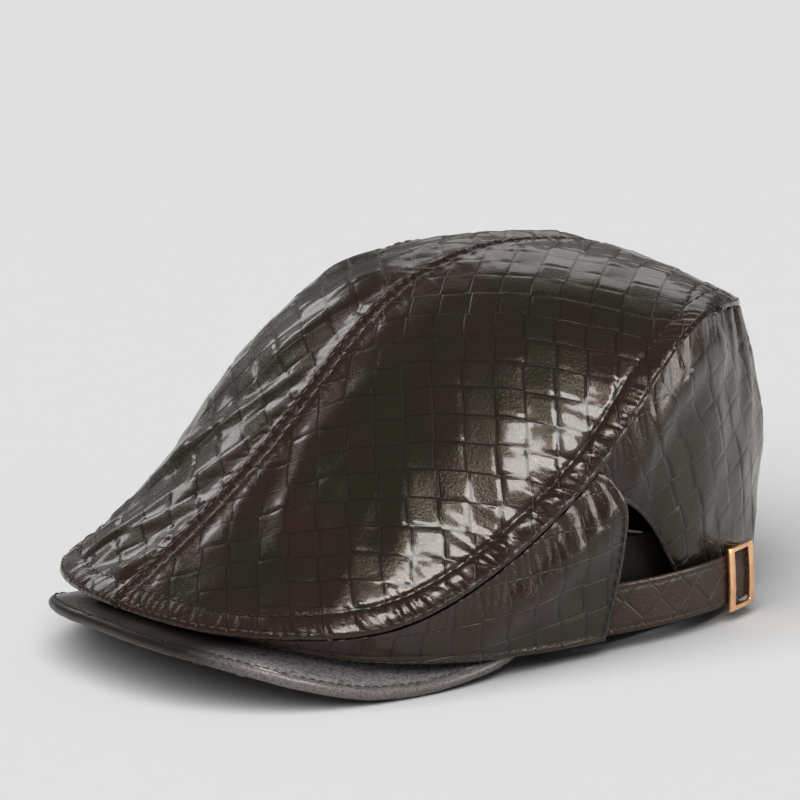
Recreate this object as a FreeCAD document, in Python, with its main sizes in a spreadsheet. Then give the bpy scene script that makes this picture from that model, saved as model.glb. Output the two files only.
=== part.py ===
import FreeCAD, Part
import math
import os

# Leather duckbill flat cap, wearer's left on +X, bill towards -Y, standing on its bill and rear hem.
# Millimetres, +Z up, origin under the middle of the cap on the surface it stands on.

Vector = FreeCAD.Vector
UP = Vector(0, 0, 1)
SIDES = {"left": 1, "right": -1}

doc = FreeCAD.newDocument("duckbill_flat_cap")
sheet = doc.addObject("Spreadsheet::Sheet", "Sizes")

DRIVING_SIZES = [
    ("half_width", 97, "seam of the crown to the middle plane, at the widest place"),
    ("half_length", 136, "front edge of the bill to the origin; the back reaches as far behind it"),
    ("cap_height", 129, "top of the crown above the table"),
    ("leather", 1.2, "embossed leather of crown, sides and back"),
    ("bill_leather", 0.8, "skived leather on both faces of the bill"),
    ("bill_board_thick", 1.8, "plastic board inside the bill"),
    ("interlining_thick", 1.2, "padding that holds the crown up"),
    ("lining_thick", 0.4, "satin lining"),
    ("tape_thick", 0.5, "woven tape over the middle seam"),
    ("tape_width", 10, "width of the seam tape"),
    ("layer_gap", 0.2, "air between two sewn layers"),
    ("seam_lap", 1.6, "how far the sides and back tuck in under the edge of the crown"),
    ("binding_thick", 1.2, "leather binding round the edge of the bill"),
    ("binding_rim", 0.4, "how far the binding stands past each face of the bill"),
    ("sweatband_thick", 1.0, "leather sweatband"),
    ("sweatband_height", 32, "height of the sweatband"),
    ("band_half_width", 79, "outside of the sweatband to the middle plane"),
    ("band_back", 127, "outside of the sweatband at the back"),
    ("head_centre", 48, "centre of the round back of the head opening, behind the origin"),
    ("strap_radius", 115, "outer face of a strap to the axis that it slides about"),
    ("strap_axis_across", 25, "strap axis to the middle plane, on the far side"),
    ("strap_axis_behind", 40, "strap axis behind the origin"),
    ("strap_thick", 1.6, "two skived layers of leather"),
    ("strap_width", 18, "height of the strap as worn"),
    ("strap_bottom", 6, "lower edge of the strap above the table"),
    ("strap_front_angle", -17.5, "front end of the strap, hidden under the side"),
    ("strap_tail_angle", 25.2, "free end of the strap, behind the buckle"),
    ("buckle_angle", 19.4, "middle of the buckle along the strap"),
    ("buckle_length", 16, "outside length of the buckle, along the strap"),
    ("buckle_bar", 3.2, "width of a buckle bar"),
    ("buckle_thick", 1.5, "thickness of a buckle bar"),
    ("buckle_rail", 2.0, "width of the rails above and below the strap"),
    ("buckle_play", 0.6, "room between strap and buckle"),
    ("keeper_thick", 0.8, "leather loop that holds the buckle on the back"),
    ("keeper_width", 12, "height of the loop as worn"),
    ("keeper_length", 11, "length of the loop along the strap"),
    ("label_width", 26, "blank woven size label"),
    ("label_height", 14, "height of the label"),
    ("label_thick", 0.5, "thickness of the label"),
    ("label_rise", 11, "lower edge of the label above the table"),
    ("label_stand_off", 1.7, "middle of the flat label to the bent sweatband behind it"),
]
for row, (alias, value, meaning) in enumerate(DRIVING_SIZES, start=1):
    sheet.set(f"A{row}", alias)
    sheet.set(f"B{row}", str(value))
    sheet.set(f"C{row}", meaning)
    sheet.setAlias(f"B{row}", alias)
doc.recompute()
size = {alias: float(getattr(sheet, alias)) for alias, _, _ in DRIVING_SIZES}

# --- Curves that the panels share: hand-set points of the left half, as shares of the cap's sizes ---


def at(across, along, up):
    """One point of the cap, as shares of its half width, half length and height."""
    return Vector(across * size["half_width"], along * size["half_length"], up * size["cap_height"])


CENTRE_LINE = [at(0, -0.949, 0.217), at(0, -0.684, 0.388), at(0, -0.368, 0.643), at(0, -0.074, 0.895),
               at(0, 0.169, 0.987), at(0, 0.441, 0.985), at(0, 0.684, 0.919), at(0, 0.893, 0.780)]
CROWN_EDGE = [at(0, -0.949, 0.217), at(0.412, -0.904, 0.209), at(0.639, -0.824, 0.205),
              at(0.804, -0.691, 0.199), at(0.887, -0.559, 0.205), at(0.948, -0.338, 0.271),
              at(0.990, -0.066, 0.434), at(1.000, 0.125, 0.601), at(0.985, 0.279, 0.779),
              at(0.932, 0.419, 0.866), at(0.825, 0.551, 0.868)]
FRONT_CORNER = 3            # the point of CROWN_EDGE where the front turns into the side
BACK_SEAM = [at(0.825, 0.551, 0.868), at(0.670, 0.709, 0.836), at(0.515, 0.800, 0.809),
             at(0.289, 0.868, 0.787), at(0, 0.893, 0.780)]
SIDE_HEM = [at(0, -0.860, 0.190), at(0.330, -0.831, 0.178), at(0.598, -0.735, 0.146),
            at(0.784, -0.548, 0.098), at(0.876, -0.291, 0.064), at(0.907, -0.107, 0.048),
            at(0.918, 0.099, 0.040)]
BILL_EDGE = [at(0, -1.000, 0.148), at(0.309, -0.980, 0.139), at(0.557, -0.897, 0.110),
             at(0.732, -0.772, 0.062), at(0.840, -0.610, 0.015), at(0.887, -0.434, 0.0012),
             at(0.893, -0.279, 0.014), at(0.876, -0.199, 0.022), at(0.840, -0.140, 0.028)]
BILL_ROOT_RISE = [0.178, 0.162, 0.112, 0.062, 0.030]     # height of the bill's root, from middle to tip
BACK_EDGE = [at(0.940, 0.074, 0.465), at(0.915, 0.213, 0.380), at(0.880, 0.346, 0.186),
             at(0.842, 0.456, 0.031), at(0.768, 0.574, 0.016), at(0.585, 0.770, 0.008),
             at(0.315, 0.905, 0.002), at(0, 0.950, 0.000)]
BAND_FRONT = -0.52          # front of the head opening, as a share of half_length
BAND_MIDDLE = 0.21          # where the head opening is widest
BAND_SIDE_RISE = 0.040      # height of the sweatband's lower edge at the sides, above the board
BAND_BACK_FOOT = 1.2        # least height of that edge at the back, in millimetres above the board
BILL_TIP_TURN = math.radians(60)    # how far round the head opening the bill reaches
SIDE_TOP = at(1.0, 0.06, 0.54)      # where on the crown's edge the side panel's top ends
BACK_TOP = at(1.0, 0.02, 0.52)      # where on the crown's edge the back panel's top starts
FLAP_BULGE = 9.0            # how far the free rear edge of a side panel bows backwards
FLAP_BOW_WAY = Vector(0.15, 1, 0)   # which way it bows
FLAP_BOW_SKEW = 0.7         # under 1, the bow is fullest above the middle of the panel
ARCH_LEAN = 1.6             # over 1, the crown's arches leave the middle line squarely
CROWN_SWEEP = (84, 50)      # how far round a circle the crown's arches turn, at the front and at the back
BACK_BULGE = (1.0, 11.2)    # how far the back panel swells at its front corners and at the middle
BACK_BULGE_FALL = 1.5       # over 1, the back swells most above the middle of its height
BACK_TUCK_SHARE = 0.15      # share of the back panel that steps in under the side panel
LINING_ROWS = (0.05, 0.94)  # stretch of the crown that interlining and lining cover
LINING_COLUMNS = (0.0, 0.91)
SIDE_LINING_ROWS = (0.45, 0.86)
SIDE_LINING_COLUMNS = (0.10, 0.95)
BACK_LINING_ROWS = (0.08, 0.92)
BACK_LINING_COLUMNS = (0.06, 0.90)


def spline(points):
    """A smooth edge through points that start or end on the middle plane.

    The curve runs on through the mirrored points, so that it crosses the plane squarely."""
    curve = Part.BSplineCurve()
    twins = [Vector(-p.x, p.y, p.z) for p in points]
    if points[0].x == 0:
        curve.interpolate(twins[:0:-1] + points)
        return curve.toShape(curve.parameter(points[0]), curve.LastParameter)
    curve.interpolate(points + twins[-2::-1])
    return curve.toShape(curve.FirstParameter, curve.parameter(points[-1]))


def spread(edge, count, start=0.0, end=1.0):
    """Points spread evenly along an edge, between two shares of its length."""
    shares = [start + (end - start) * i / (count - 1) for i in range(count)]
    return [edge.valueAt(edge.getParameterByLength(share * edge.Length)) for share in shares]


def share_at(edge, point):
    """How far along an edge a point lies, as a share of its length."""
    parameter = edge.Curve.parameter(point)
    return edge.Curve.length(edge.FirstParameter, parameter) / edge.Length


def moved_in(point, inwards, down):
    """A point of the shell moved towards the upright line through the head's centre, and down."""
    centre_y = min(size["head_centre"], max(0.0, point.y))
    away = Vector(point.x, point.y - centre_y, 0)
    return point - away.normalize() * inwards - UP * down


def band_point(turn, inset):
    """A point of the sweatband's plan; turn runs from the middle of the front, 0, to the back, pi."""
    half = size["band_half_width"] - inset
    middle_y = BAND_MIDDLE * size["half_length"]
    front_reach = middle_y - BAND_FRONT * size["half_length"]
    reach = size["band_back"] - middle_y if turn > math.pi / 2 else front_reach
    return Vector(half * math.sin(turn), middle_y - (reach - inset) * math.cos(turn), 0)


centre_edge = Part.BSplineCurve()
centre_edge.interpolate(CENTRE_LINE)
centre_edge = centre_edge.toShape()
crown_edge = spline(CROWN_EDGE)
back_seam = spline(BACK_SEAM)
side_hem = spline(SIDE_HEM)
bill_edge = spline(BILL_EDGE)
root_turns = [BILL_TIP_TURN * i / (len(BILL_ROOT_RISE) - 1) for i in range(len(BILL_ROOT_RISE))]
bill_root = spline([band_point(turn, -2 * size["layer_gap"]) + at(0, 0, rise)
                    for turn, rise in zip(root_turns, BILL_ROOT_RISE)])
back_edge = spline(BACK_EDGE)

# --- Grids of points: one row per station, left half of the cap ---


def crown_grid(rows=17, columns=9):
    """Half of the crown: an arch from the middle line to the edge at each station.

    The arches are bent at both ends so that they meet the front edge and the back seam."""
    corner = share_at(crown_edge, CROWN_EDGE[FRONT_CORNER])
    middle = spread(centre_edge, rows)
    side = spread(crown_edge, rows, corner, 1.0)
    front = spread(crown_edge, columns, 0.0, corner)
    back = spread(back_seam, columns)[::-1]

    def arch(row, column):
        along = row / (rows - 1)
        sweep = math.radians(CROWN_SWEEP[0] + (CROWN_SWEEP[1] - CROWN_SWEEP[0]) * along)
        turn = column / (columns - 1) * sweep
        out = math.sin(turn) / math.sin(sweep)
        rise = (math.cos(turn) - math.cos(sweep)) / (1 - math.cos(sweep))
        low, high = side[row], middle[row]
        return Vector(
            high.x + (low.x - high.x) * out,
            high.y + (low.y - high.y) * out ** ARCH_LEAN,
            low.z + (high.z - low.z) * rise,
        )

    grid = []
    for row in range(rows):
        along = row / (rows - 1)
        line = []
        for column in range(columns):
            at_front = (front[column] - arch(0, column)) * (1 - along) ** 2
            at_back = (back[column] - arch(rows - 1, column)) * along ** 2
            line.append(arch(row, column) + at_front + at_back)
        grid.append(line)
    return grid


def side_grid(rows=17, columns=5):
    """A side panel, from the middle of the front to its free, bowed rear edge."""
    end = share_at(crown_edge, SIDE_TOP)
    top = [moved_in(p, size["seam_lap"], size["seam_lap"]) for p in spread(crown_edge, rows, 0.0, end)]
    hem = spread(side_hem, rows)
    grid = []
    for row in range(rows):
        along = row / (rows - 1)
        bow = FLAP_BOW_WAY * FLAP_BULGE * along ** 4
        steps = [column / (columns - 1) for column in range(columns)]
        grid.append([top[row] * (1 - s) + hem[row] * s + bow * math.sin(math.pi * s ** FLAP_BOW_SKEW)
                     for s in steps])
    return grid


def bulge_profile(share):
    """How full the back panel is at a share of its height, up to 1."""
    fullest = 1 / (1 + BACK_BULGE_FALL)
    peak = fullest * (1 - fullest) ** BACK_BULGE_FALL
    return share * (1 - share) ** BACK_BULGE_FALL / peak


def back_grid(rows=25, columns=7):
    """Left half of the back panel, from its front corner under the side to the middle of the back."""
    seam_start = share_at(crown_edge, BACK_TOP)
    side_length = crown_edge.Length * (1 - seam_start)
    side_rows = round(rows * side_length / (side_length + back_seam.Length))
    top = spread(crown_edge, side_rows + 1, seam_start, 1.0)[:-1] + spread(back_seam, rows - side_rows)
    bottom = spread(back_edge, rows)
    grid = []
    for row in range(rows):
        along = row / (rows - 1)
        swell = BACK_BULGE[0] + (BACK_BULGE[1] - BACK_BULGE[0]) * along ** 2
        tuck = 2 * size["leather"] * max(0.0, 1 - along / BACK_TUCK_SHARE)
        start = moved_in(top[row], size["seam_lap"] + tuck, size["seam_lap"])
        line = []
        for column in range(columns):
            s = column / (columns - 1)
            point = start * (1 - s) + bottom[row] * s
            away = Vector(point.x, point.y - size["head_centre"] * min(1.0, along * 2), 0).normalize()
            line.append(point + away * swell * bulge_profile(s))
        grid.append(line)
    return grid


def bill_grid(rows=15, columns=4, rim=0.0):
    """Left half of the underside of the bill, from its middle to its rear tip."""
    outer = spread(bill_edge, rows)
    root = spread(bill_root, rows)
    grid = []
    for row in range(rows):
        ahead = outer[min(row + 1, rows - 1)] - outer[row - 1] if row else Vector(1, 0, 0)
        start = outer[row] + Vector(-ahead.y, ahead.x, 0).normalize() * rim
        steps = [column / (columns - 1) for column in range(columns)]
        grid.append([start * (1 - s) + root[row] * s for s in steps])
    return grid


def band_foot(turn):
    """Height of the sweatband's lower edge: level with the bill's root in front, the hem behind."""
    ahead = max(0.0, math.cos(turn))
    lift = ahead ** 1.5 * (BILL_ROOT_RISE[0] - BAND_SIDE_RISE) * size["cap_height"]
    fall = BAND_SIDE_RISE * size["cap_height"] * (0.6 + 0.4 * math.cos(turn))
    return lift + max(fall, BAND_BACK_FOOT) + size["bill_board_thick"]


def band_grid(height, inset, start=0.02, rows=41, columns=3):
    """A band round the head, open for a butt joint at the middle of the back."""
    grid = []
    for row in range(rows):
        turn = -math.pi + start + row / (rows - 1) * 2 * (math.pi - start)
        point = band_point(abs(turn), inset) + UP * band_foot(abs(turn))
        point.x = math.copysign(point.x, turn)
        grid.append([point + UP * height * c / (columns - 1) for c in range(columns)])
    return grid


# --- From grids to solids ---


def stretch_of(grid, rows, columns):
    """The part of a grid between two shares of its rows and of its columns, on the same surface."""
    surface = smooth_surface(grid)
    first_u, last_u, first_v, last_v = surface.bounds()
    row_count, column_count = len(grid), len(grid[0])

    def parameter(low, high, ends, i, count):
        share = ends[0] + (ends[1] - ends[0]) * i / (count - 1)
        return low + (high - low) * share

    return [[surface.value(parameter(first_u, last_u, rows, i, row_count),
                           parameter(first_v, last_v, columns, j, column_count))
             for j in range(column_count)] for i in range(row_count)]


def smooth_surface(grid):
    surface = Part.BSplineSurface()
    surface.interpolate(grid)
    return surface


def offset_grid(grid, depth, towards=None):
    """The grid moved by depth: along its own normals into the cap, or along a fixed direction."""
    if towards is not None:
        return [[point + towards * depth for point in line] for line in grid]
    last_row, last_column = len(grid) - 1, len(grid[0]) - 1

    def normal(i, j):
        along = grid[min(i + 1, last_row)][j] - grid[max(i - 1, 0)][j]
        across = grid[i][min(j + 1, last_column)] - grid[i][max(j - 1, 0)]
        return along.cross(across).normalize()

    middle = grid[last_row // 2][last_column // 2]
    sign = math.copysign(1, normal(last_row // 2, last_column // 2).dot(-middle))
    return [[point + normal(i, j) * sign * depth for j, point in enumerate(line)]
            for i, line in enumerate(grid)]


def sheet_solid(grid, thickness, depth=0.0, towards=None):
    """A closed sheet of even thickness whose outer face passes through the grid, moved in by depth."""
    faces = []
    surfaces = [smooth_surface(offset_grid(grid, d, towards)) for d in (depth, depth + thickness)]
    faces.extend(surface.toShape() for surface in surfaces)
    bounds = [surface.bounds() for surface in surfaces]
    for index in (0, 1):
        rims = [s.uIso(b[index]).toShape() for s, b in zip(surfaces, bounds)]
        faces.append(Part.makeRuledSurface(*rims, 1))
        rims = [s.vIso(b[2 + index]).toShape() for s, b in zip(surfaces, bounds)]
        faces.append(Part.makeRuledSurface(*rims, 1))
    shell = Part.makeShell(faces)
    shell.sewShape()
    solid = Part.makeSolid(shell)
    if solid.Volume < 0:
        solid.reverse()
    return solid


def mirrored_grid(grid):
    """The same grid on the wearer's right."""
    return [[Vector(-p.x, p.y, p.z) for p in line] for line in grid]


def whole_grid(half):
    """A grid of both sides, from a left half whose last row lies on the middle plane."""
    return half + mirrored_grid(half)[-2::-1]


def clear_of_middle(grid, gap):
    """The half grid with its middle line moved half a seam's width off the middle plane."""
    return [[Vector(max(p.x, gap), p.y, p.z) for p in line] for line in grid]


def add_piece(label, shape):
    piece = doc.addObject("Part::Feature", label)
    piece.Shape = shape
    piece.Placement = FreeCAD.Placement()
    piece.Label = label
    return piece


pieces = []
crown = clear_of_middle(crown_grid(), size["layer_gap"])
side = clear_of_middle(side_grid(), size["layer_gap"])
back = whole_grid(back_grid())

interlining_depth = size["leather"] + size["layer_gap"]
tape_depth = interlining_depth + size["interlining_thick"] + size["layer_gap"]
lining_depth = tape_depth + size["tape_thick"] + size["layer_gap"]
side_lining_depth = size["leather"] + size["layer_gap"]

for name, sign in SIDES.items():
    crown_half = crown if sign > 0 else mirrored_grid(crown)
    side_half = side if sign > 0 else mirrored_grid(side)
    crown_inside = stretch_of(crown_half, LINING_ROWS, LINING_COLUMNS)
    side_inside = stretch_of(side_half, SIDE_LINING_ROWS, SIDE_LINING_COLUMNS)
    pieces += [
        add_piece(f"crown_{name}_panel", sheet_solid(crown_half, size["leather"])),
        add_piece(f"crown_{name}_interlining",
                  sheet_solid(crown_inside, size["interlining_thick"], interlining_depth)),
        add_piece(f"crown_{name}_lining", sheet_solid(crown_inside, size["lining_thick"], lining_depth)),
        add_piece(f"side_{name}_panel", sheet_solid(side_half, size["leather"])),
        add_piece(f"side_{name}_lining", sheet_solid(side_inside, size["lining_thick"], side_lining_depth)),
    ]
back_inside = stretch_of(back, BACK_LINING_ROWS, BACK_LINING_COLUMNS)
pieces += [
    add_piece("back_panel", sheet_solid(back, size["leather"])),
    add_piece("back_lining", sheet_solid(back_inside, size["lining_thick"], side_lining_depth)),
]

# Woven tape under the middle seam: a narrow strip that follows the middle line.
tape_line = spread(centre_edge, 15, 0.02, 0.98)
tape_grid = [[Vector(x * size["tape_width"] / 2, p.y, p.z) for x in (-1, 0, 1)] for p in tape_line]
pieces.append(add_piece("centre_seam_tape", sheet_solid(tape_grid, size["tape_thick"], tape_depth)))

# The bill: board between two leathers, closed by a binding round its front edge.
bill = whole_grid(bill_grid(rim=size["binding_thick"] + size["layer_gap"])[::-1])
board_height = size["bill_leather"] + size["layer_gap"]
top_height = board_height + size["bill_board_thick"] + size["layer_gap"]
bill_thick = top_height + size["bill_leather"]
pieces += [
    add_piece("bill_under_leather", sheet_solid(bill, size["bill_leather"], size["binding_rim"], UP)),
    add_piece("bill_board", sheet_solid(bill, size["bill_board_thick"],
                                        size["binding_rim"] + board_height, UP)),
    add_piece("bill_top_leather", sheet_solid(bill, size["bill_leather"],
                                              size["binding_rim"] + top_height, UP)),
]
rim_line = [line[0] for line in whole_grid(bill_grid()[::-1])]
rim_height = bill_thick + 2 * size["binding_rim"]
rim_grid = [[p + UP * rim_height * c / 2 for c in range(3)] for p in rim_line]
pieces.append(add_piece("bill_edge_binding", sheet_solid(rim_grid, size["binding_thick"])))

pieces.append(add_piece("sweatband", sheet_solid(band_grid(size["sweatband_height"], 0.0),
                                                 size["sweatband_thick"])))

# --- Strap, buckle and loop of each side, placed about the strap's own upright axis ---


def bind(piece, expressions):
    """Tie properties of a document object to the sheet."""
    for name, expression in expressions.items():
        piece.setExpression(name, expression)


def on_strap_axis(piece, turn):
    """Put a piece on the left strap's axis, turned about it."""
    bind(piece, {
        "Placement.Base.x": "-Sizes.strap_axis_across",
        "Placement.Base.y": "Sizes.strap_axis_behind",
        "Placement.Rotation.Angle": turn,
    })


def strap_cylinder(name, radius):
    """A sector of a cylinder as long and as high as the strap."""
    sector = doc.addObject("Part::Cylinder", name)
    bind(sector, {
        "Radius": radius,
        "Height": "Sizes.strap_width",
        "Angle": "Sizes.strap_tail_angle - Sizes.strap_front_angle",
        "Placement.Base.z": "Sizes.strap_bottom",
    })
    return sector


def block(name, start, length):
    """A box from its lowest corner and its sides; x points away from the strap's axis."""
    box = doc.addObject("Part::Box", name)
    for axis, side_name, low, long in zip("xyz", ("Length", "Width", "Height"), start, length):
        bind(box, {f"Placement.Base.{axis}": low, side_name: long})
    return box


def mirrored(piece, label):
    """The same piece on the wearer's right."""
    twin = doc.addObject("Part::Mirroring", label)
    twin.Source = piece
    twin.Normal = Vector(1, 0, 0)
    twin.Label = label
    return twin


def fused(label, parts):
    joined = doc.addObject("Part::MultiFuse", label)
    joined.Shapes = parts
    joined.Label = label
    return joined


def cut(label, body, tool):
    rest = doc.addObject("Part::Cut", label)
    rest.Base = body
    rest.Tool = tool
    rest.Label = label
    return rest


strap_left = cut("strap_left", strap_cylinder("strap_outside", "Sizes.strap_radius"),
                 strap_cylinder("strap_inside", "Sizes.strap_radius - Sizes.strap_thick"))
on_strap_axis(strap_left, "Sizes.strap_front_angle")

FRAME_FACE = "Sizes.strap_radius + Sizes.buckle_play"
BAR_FACE = ("Sizes.strap_radius - Sizes.strap_thick - Sizes.buckle_play - Sizes.keeper_thick"
            " - Sizes.layer_gap - Sizes.buckle_thick")
FRAME_FOOT = "Sizes.strap_bottom - Sizes.buckle_play - Sizes.buckle_rail"
FRAME_HEAD = "Sizes.strap_bottom + Sizes.strap_width + Sizes.buckle_play"
FRAME_HEIGHT = "Sizes.strap_width + 2 * (Sizes.buckle_play + Sizes.buckle_rail)"
LEG_DEPTH = f"{FRAME_FACE} + Sizes.buckle_thick - ({BAR_FACE})"

buckle_parts = [
    block("front_bar", (FRAME_FACE, "-Sizes.buckle_length / 2", FRAME_FOOT),
          ("Sizes.buckle_thick", "Sizes.buckle_bar", FRAME_HEIGHT)),
    block("rear_bar", (FRAME_FACE, "Sizes.buckle_length / 2 - Sizes.buckle_bar", FRAME_FOOT),
          ("Sizes.buckle_thick", "Sizes.buckle_bar", FRAME_HEIGHT)),
    block("centre_bar", (BAR_FACE, "-Sizes.buckle_bar / 2", FRAME_FOOT),
          ("Sizes.buckle_thick", "Sizes.buckle_bar", FRAME_HEIGHT)),
]
for place, foot in (("lower", FRAME_FOOT), ("upper", FRAME_HEAD)):
    buckle_parts += [
        block(f"{place}_rail", (FRAME_FACE, "-Sizes.buckle_length / 2", foot),
              ("Sizes.buckle_thick", "Sizes.buckle_length", "Sizes.buckle_rail")),
        block(f"{place}_leg", (BAR_FACE, "-Sizes.buckle_bar / 2", foot),
              (LEG_DEPTH, "Sizes.buckle_bar", "Sizes.buckle_rail")),
    ]
buckle_left = fused("buckle_left", buckle_parts)
on_strap_axis(buckle_left, "Sizes.buckle_angle")

KEEPER_FOOT = "Sizes.strap_bottom + (Sizes.strap_width - Sizes.keeper_width) / 2"
KEEPER_DEPTH = "Sizes.buckle_thick + 2 * (Sizes.keeper_thick + Sizes.layer_gap)"
keeper_left = cut(
    "buckle_keeper_left",
    block("keeper_outside",
          (f"{BAR_FACE} - Sizes.layer_gap - Sizes.keeper_thick",
           "-Sizes.buckle_bar / 2 - Sizes.layer_gap - Sizes.keeper_thick", KEEPER_FOOT),
          (KEEPER_DEPTH, "Sizes.keeper_length", "Sizes.keeper_width")),
    block("keeper_inside",
          (f"{BAR_FACE} - Sizes.layer_gap", "-Sizes.buckle_bar / 2 - Sizes.layer_gap", KEEPER_FOOT),
          ("Sizes.buckle_thick + 2 * Sizes.layer_gap", "Sizes.keeper_length / 2", "Sizes.keeper_width")),
)
on_strap_axis(keeper_left, "Sizes.buckle_angle")

size_label = doc.addObject("Part::Box", "size_label")
bind(size_label, {
    "Length": "Sizes.label_width",
    "Width": "Sizes.label_thick",
    "Height": "Sizes.label_height",
    "Placement.Base.x": "-Sizes.label_width / 2",
    "Placement.Base.y": "Sizes.band_back - Sizes.sweatband_thick - Sizes.label_stand_off"
                        " - Sizes.label_thick",
    "Placement.Base.z": "Sizes.label_rise",
})
size_label.Label = "size_label"

pieces += [strap_left, buckle_left, keeper_left, size_label]
pieces += [mirrored(piece, piece.Label.replace("left", "right"))
           for piece in (strap_left, buckle_left, keeper_left)]
doc.recompute()

# --- Check every object and write each piece ---

for item in doc.Objects:
    if "Invalid" in item.State or "Error" in item.State:
        raise RuntimeError(f"{item.Label} did not compute: {item.State}")
for piece in pieces:
    if piece.Shape.isNull() or not piece.Shape.isValid():
        raise RuntimeError(f"{piece.Label} has no valid shape")

os.makedirs("parts", exist_ok=True)
for piece in pieces:
    piece.Shape.exportStep(f"parts/{piece.Label}.step")
print(len(pieces), "pieces")
for piece in pieces:
    print(f"{piece.Label:28s} {piece.Shape.Volume / 1000:8.2f} cm3")
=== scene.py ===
"""Looks of an embossed leather duckbill cap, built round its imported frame.

Metres, +Z up, bill towards -Y, wearer's left on +X. Panels follow the cap's own seams and edges.
"""
import logging
import math
from dataclasses import dataclass
from enum import Enum
from typing import Callable, Optional, Sequence

import bmesh
import bpy
import numpy as np
from mathutils import Matrix, Vector
from mathutils.bvhtree import BVHTree


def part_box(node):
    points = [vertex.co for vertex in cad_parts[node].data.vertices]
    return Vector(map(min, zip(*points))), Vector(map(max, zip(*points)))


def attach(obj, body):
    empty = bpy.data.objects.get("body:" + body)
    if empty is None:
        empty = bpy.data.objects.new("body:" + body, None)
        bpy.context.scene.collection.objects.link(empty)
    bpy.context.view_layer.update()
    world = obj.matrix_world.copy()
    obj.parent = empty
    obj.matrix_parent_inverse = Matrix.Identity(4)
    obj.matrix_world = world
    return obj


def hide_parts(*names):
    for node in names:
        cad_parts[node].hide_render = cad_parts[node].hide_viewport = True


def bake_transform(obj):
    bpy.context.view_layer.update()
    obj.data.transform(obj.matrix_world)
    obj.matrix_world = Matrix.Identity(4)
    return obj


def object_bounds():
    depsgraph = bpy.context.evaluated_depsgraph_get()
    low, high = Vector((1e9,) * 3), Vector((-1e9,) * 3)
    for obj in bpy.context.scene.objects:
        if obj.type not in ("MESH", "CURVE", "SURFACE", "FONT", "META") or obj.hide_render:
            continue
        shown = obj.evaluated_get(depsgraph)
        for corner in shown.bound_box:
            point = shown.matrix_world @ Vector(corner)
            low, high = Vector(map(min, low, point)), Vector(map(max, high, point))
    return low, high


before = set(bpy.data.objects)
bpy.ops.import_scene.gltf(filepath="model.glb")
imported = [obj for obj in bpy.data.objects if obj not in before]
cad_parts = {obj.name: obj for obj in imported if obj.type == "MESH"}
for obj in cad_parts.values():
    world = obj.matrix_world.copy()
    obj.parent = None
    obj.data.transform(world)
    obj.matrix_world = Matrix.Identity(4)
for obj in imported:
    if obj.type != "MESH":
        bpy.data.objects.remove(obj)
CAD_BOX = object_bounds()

LOG = logging.getLogger("cap")
MM = 0.001
UP = np.array([0.0, 0.0, 1.0])
CELL = 10.8 * MM            # pitch of the embossed squares

# --- Shares of half width, half length and height, left half, that the seams and edges pass through ---

CENTRE_LINE = [(0, -0.949, 0.217), (0, -0.684, 0.388), (0, -0.368, 0.643), (0, -0.074, 0.895),
               (0, 0.169, 0.987), (0, 0.441, 0.985), (0, 0.684, 0.919), (0, 0.893, 0.780)]
CROWN_EDGE = [(0, -0.949, 0.217), (0.412, -0.904, 0.209), (0.639, -0.824, 0.205),
              (0.804, -0.691, 0.199), (0.887, -0.559, 0.205), (0.948, -0.338, 0.271),
              (0.990, -0.066, 0.434), (1.000, 0.125, 0.601), (0.985, 0.279, 0.779),
              (0.932, 0.419, 0.866), (0.825, 0.551, 0.868)]
FRONT_CORNER = 3
BACK_SEAM = [(0.825, 0.551, 0.868), (0.670, 0.709, 0.836), (0.515, 0.800, 0.809),
             (0.289, 0.868, 0.787), (0, 0.893, 0.780)]
SIDE_HEM = [(0, -0.860, 0.190), (0.330, -0.831, 0.178), (0.598, -0.735, 0.146), (0.784, -0.548, 0.098),
            (0.876, -0.291, 0.064), (0.907, -0.107, 0.048), (0.918, 0.099, 0.040)]
BILL_EDGE = [(0, -1.000, 0.148), (0.309, -0.980, 0.139), (0.557, -0.897, 0.110), (0.732, -0.772, 0.062),
             (0.840, -0.610, 0.015), (0.887, -0.434, 0.0012), (0.893, -0.279, 0.014),
             (0.876, -0.199, 0.022), (0.840, -0.140, 0.028)]
BILL_ROOT_RISE = (0.178, 0.162, 0.112, 0.062, 0.030)
BACK_EDGE = [(0.940, 0.074, 0.465), (0.915, 0.213, 0.380), (0.880, 0.346, 0.186), (0.842, 0.456, 0.031),
             (0.768, 0.574, 0.016), (0.585, 0.770, 0.008), (0.315, 0.905, 0.002), (0, 0.950, 0.000)]
SIDE_TOP = (1.0, 0.06, 0.54)
BACK_TOP = (1.0, 0.02, 0.52)
BAND_FRONT = -0.52
BAND_MIDDLE = 0.21
BILL_TIP_TURN = math.radians(60)


class Crossing(Enum):
    """Which end of a half line lies on the middle plane, so that the line crosses it squarely."""

    NEITHER = "neither"
    FIRST = "first"
    LAST = "last"


class Side(Enum):
    """The wearer's left and right, with the sign of X there."""

    LEFT = 1
    RIGHT = -1

    @property
    def word(self) -> str:
        """The side's name in node names."""
        return self.name.lower()


def unit(vectors: np.ndarray) -> np.ndarray:
    """Vectors scaled to length one."""
    return vectors / np.maximum(np.linalg.norm(vectors, axis=-1, keepdims=True), 1e-12)


def smooth_step(values: np.ndarray, low: float, high: float) -> np.ndarray:
    """A smooth rise from 0 at low to 1 at high."""
    t = np.clip((values - low) / (high - low), 0.0, 1.0)
    return t * t * (3 - 2 * t)


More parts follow.
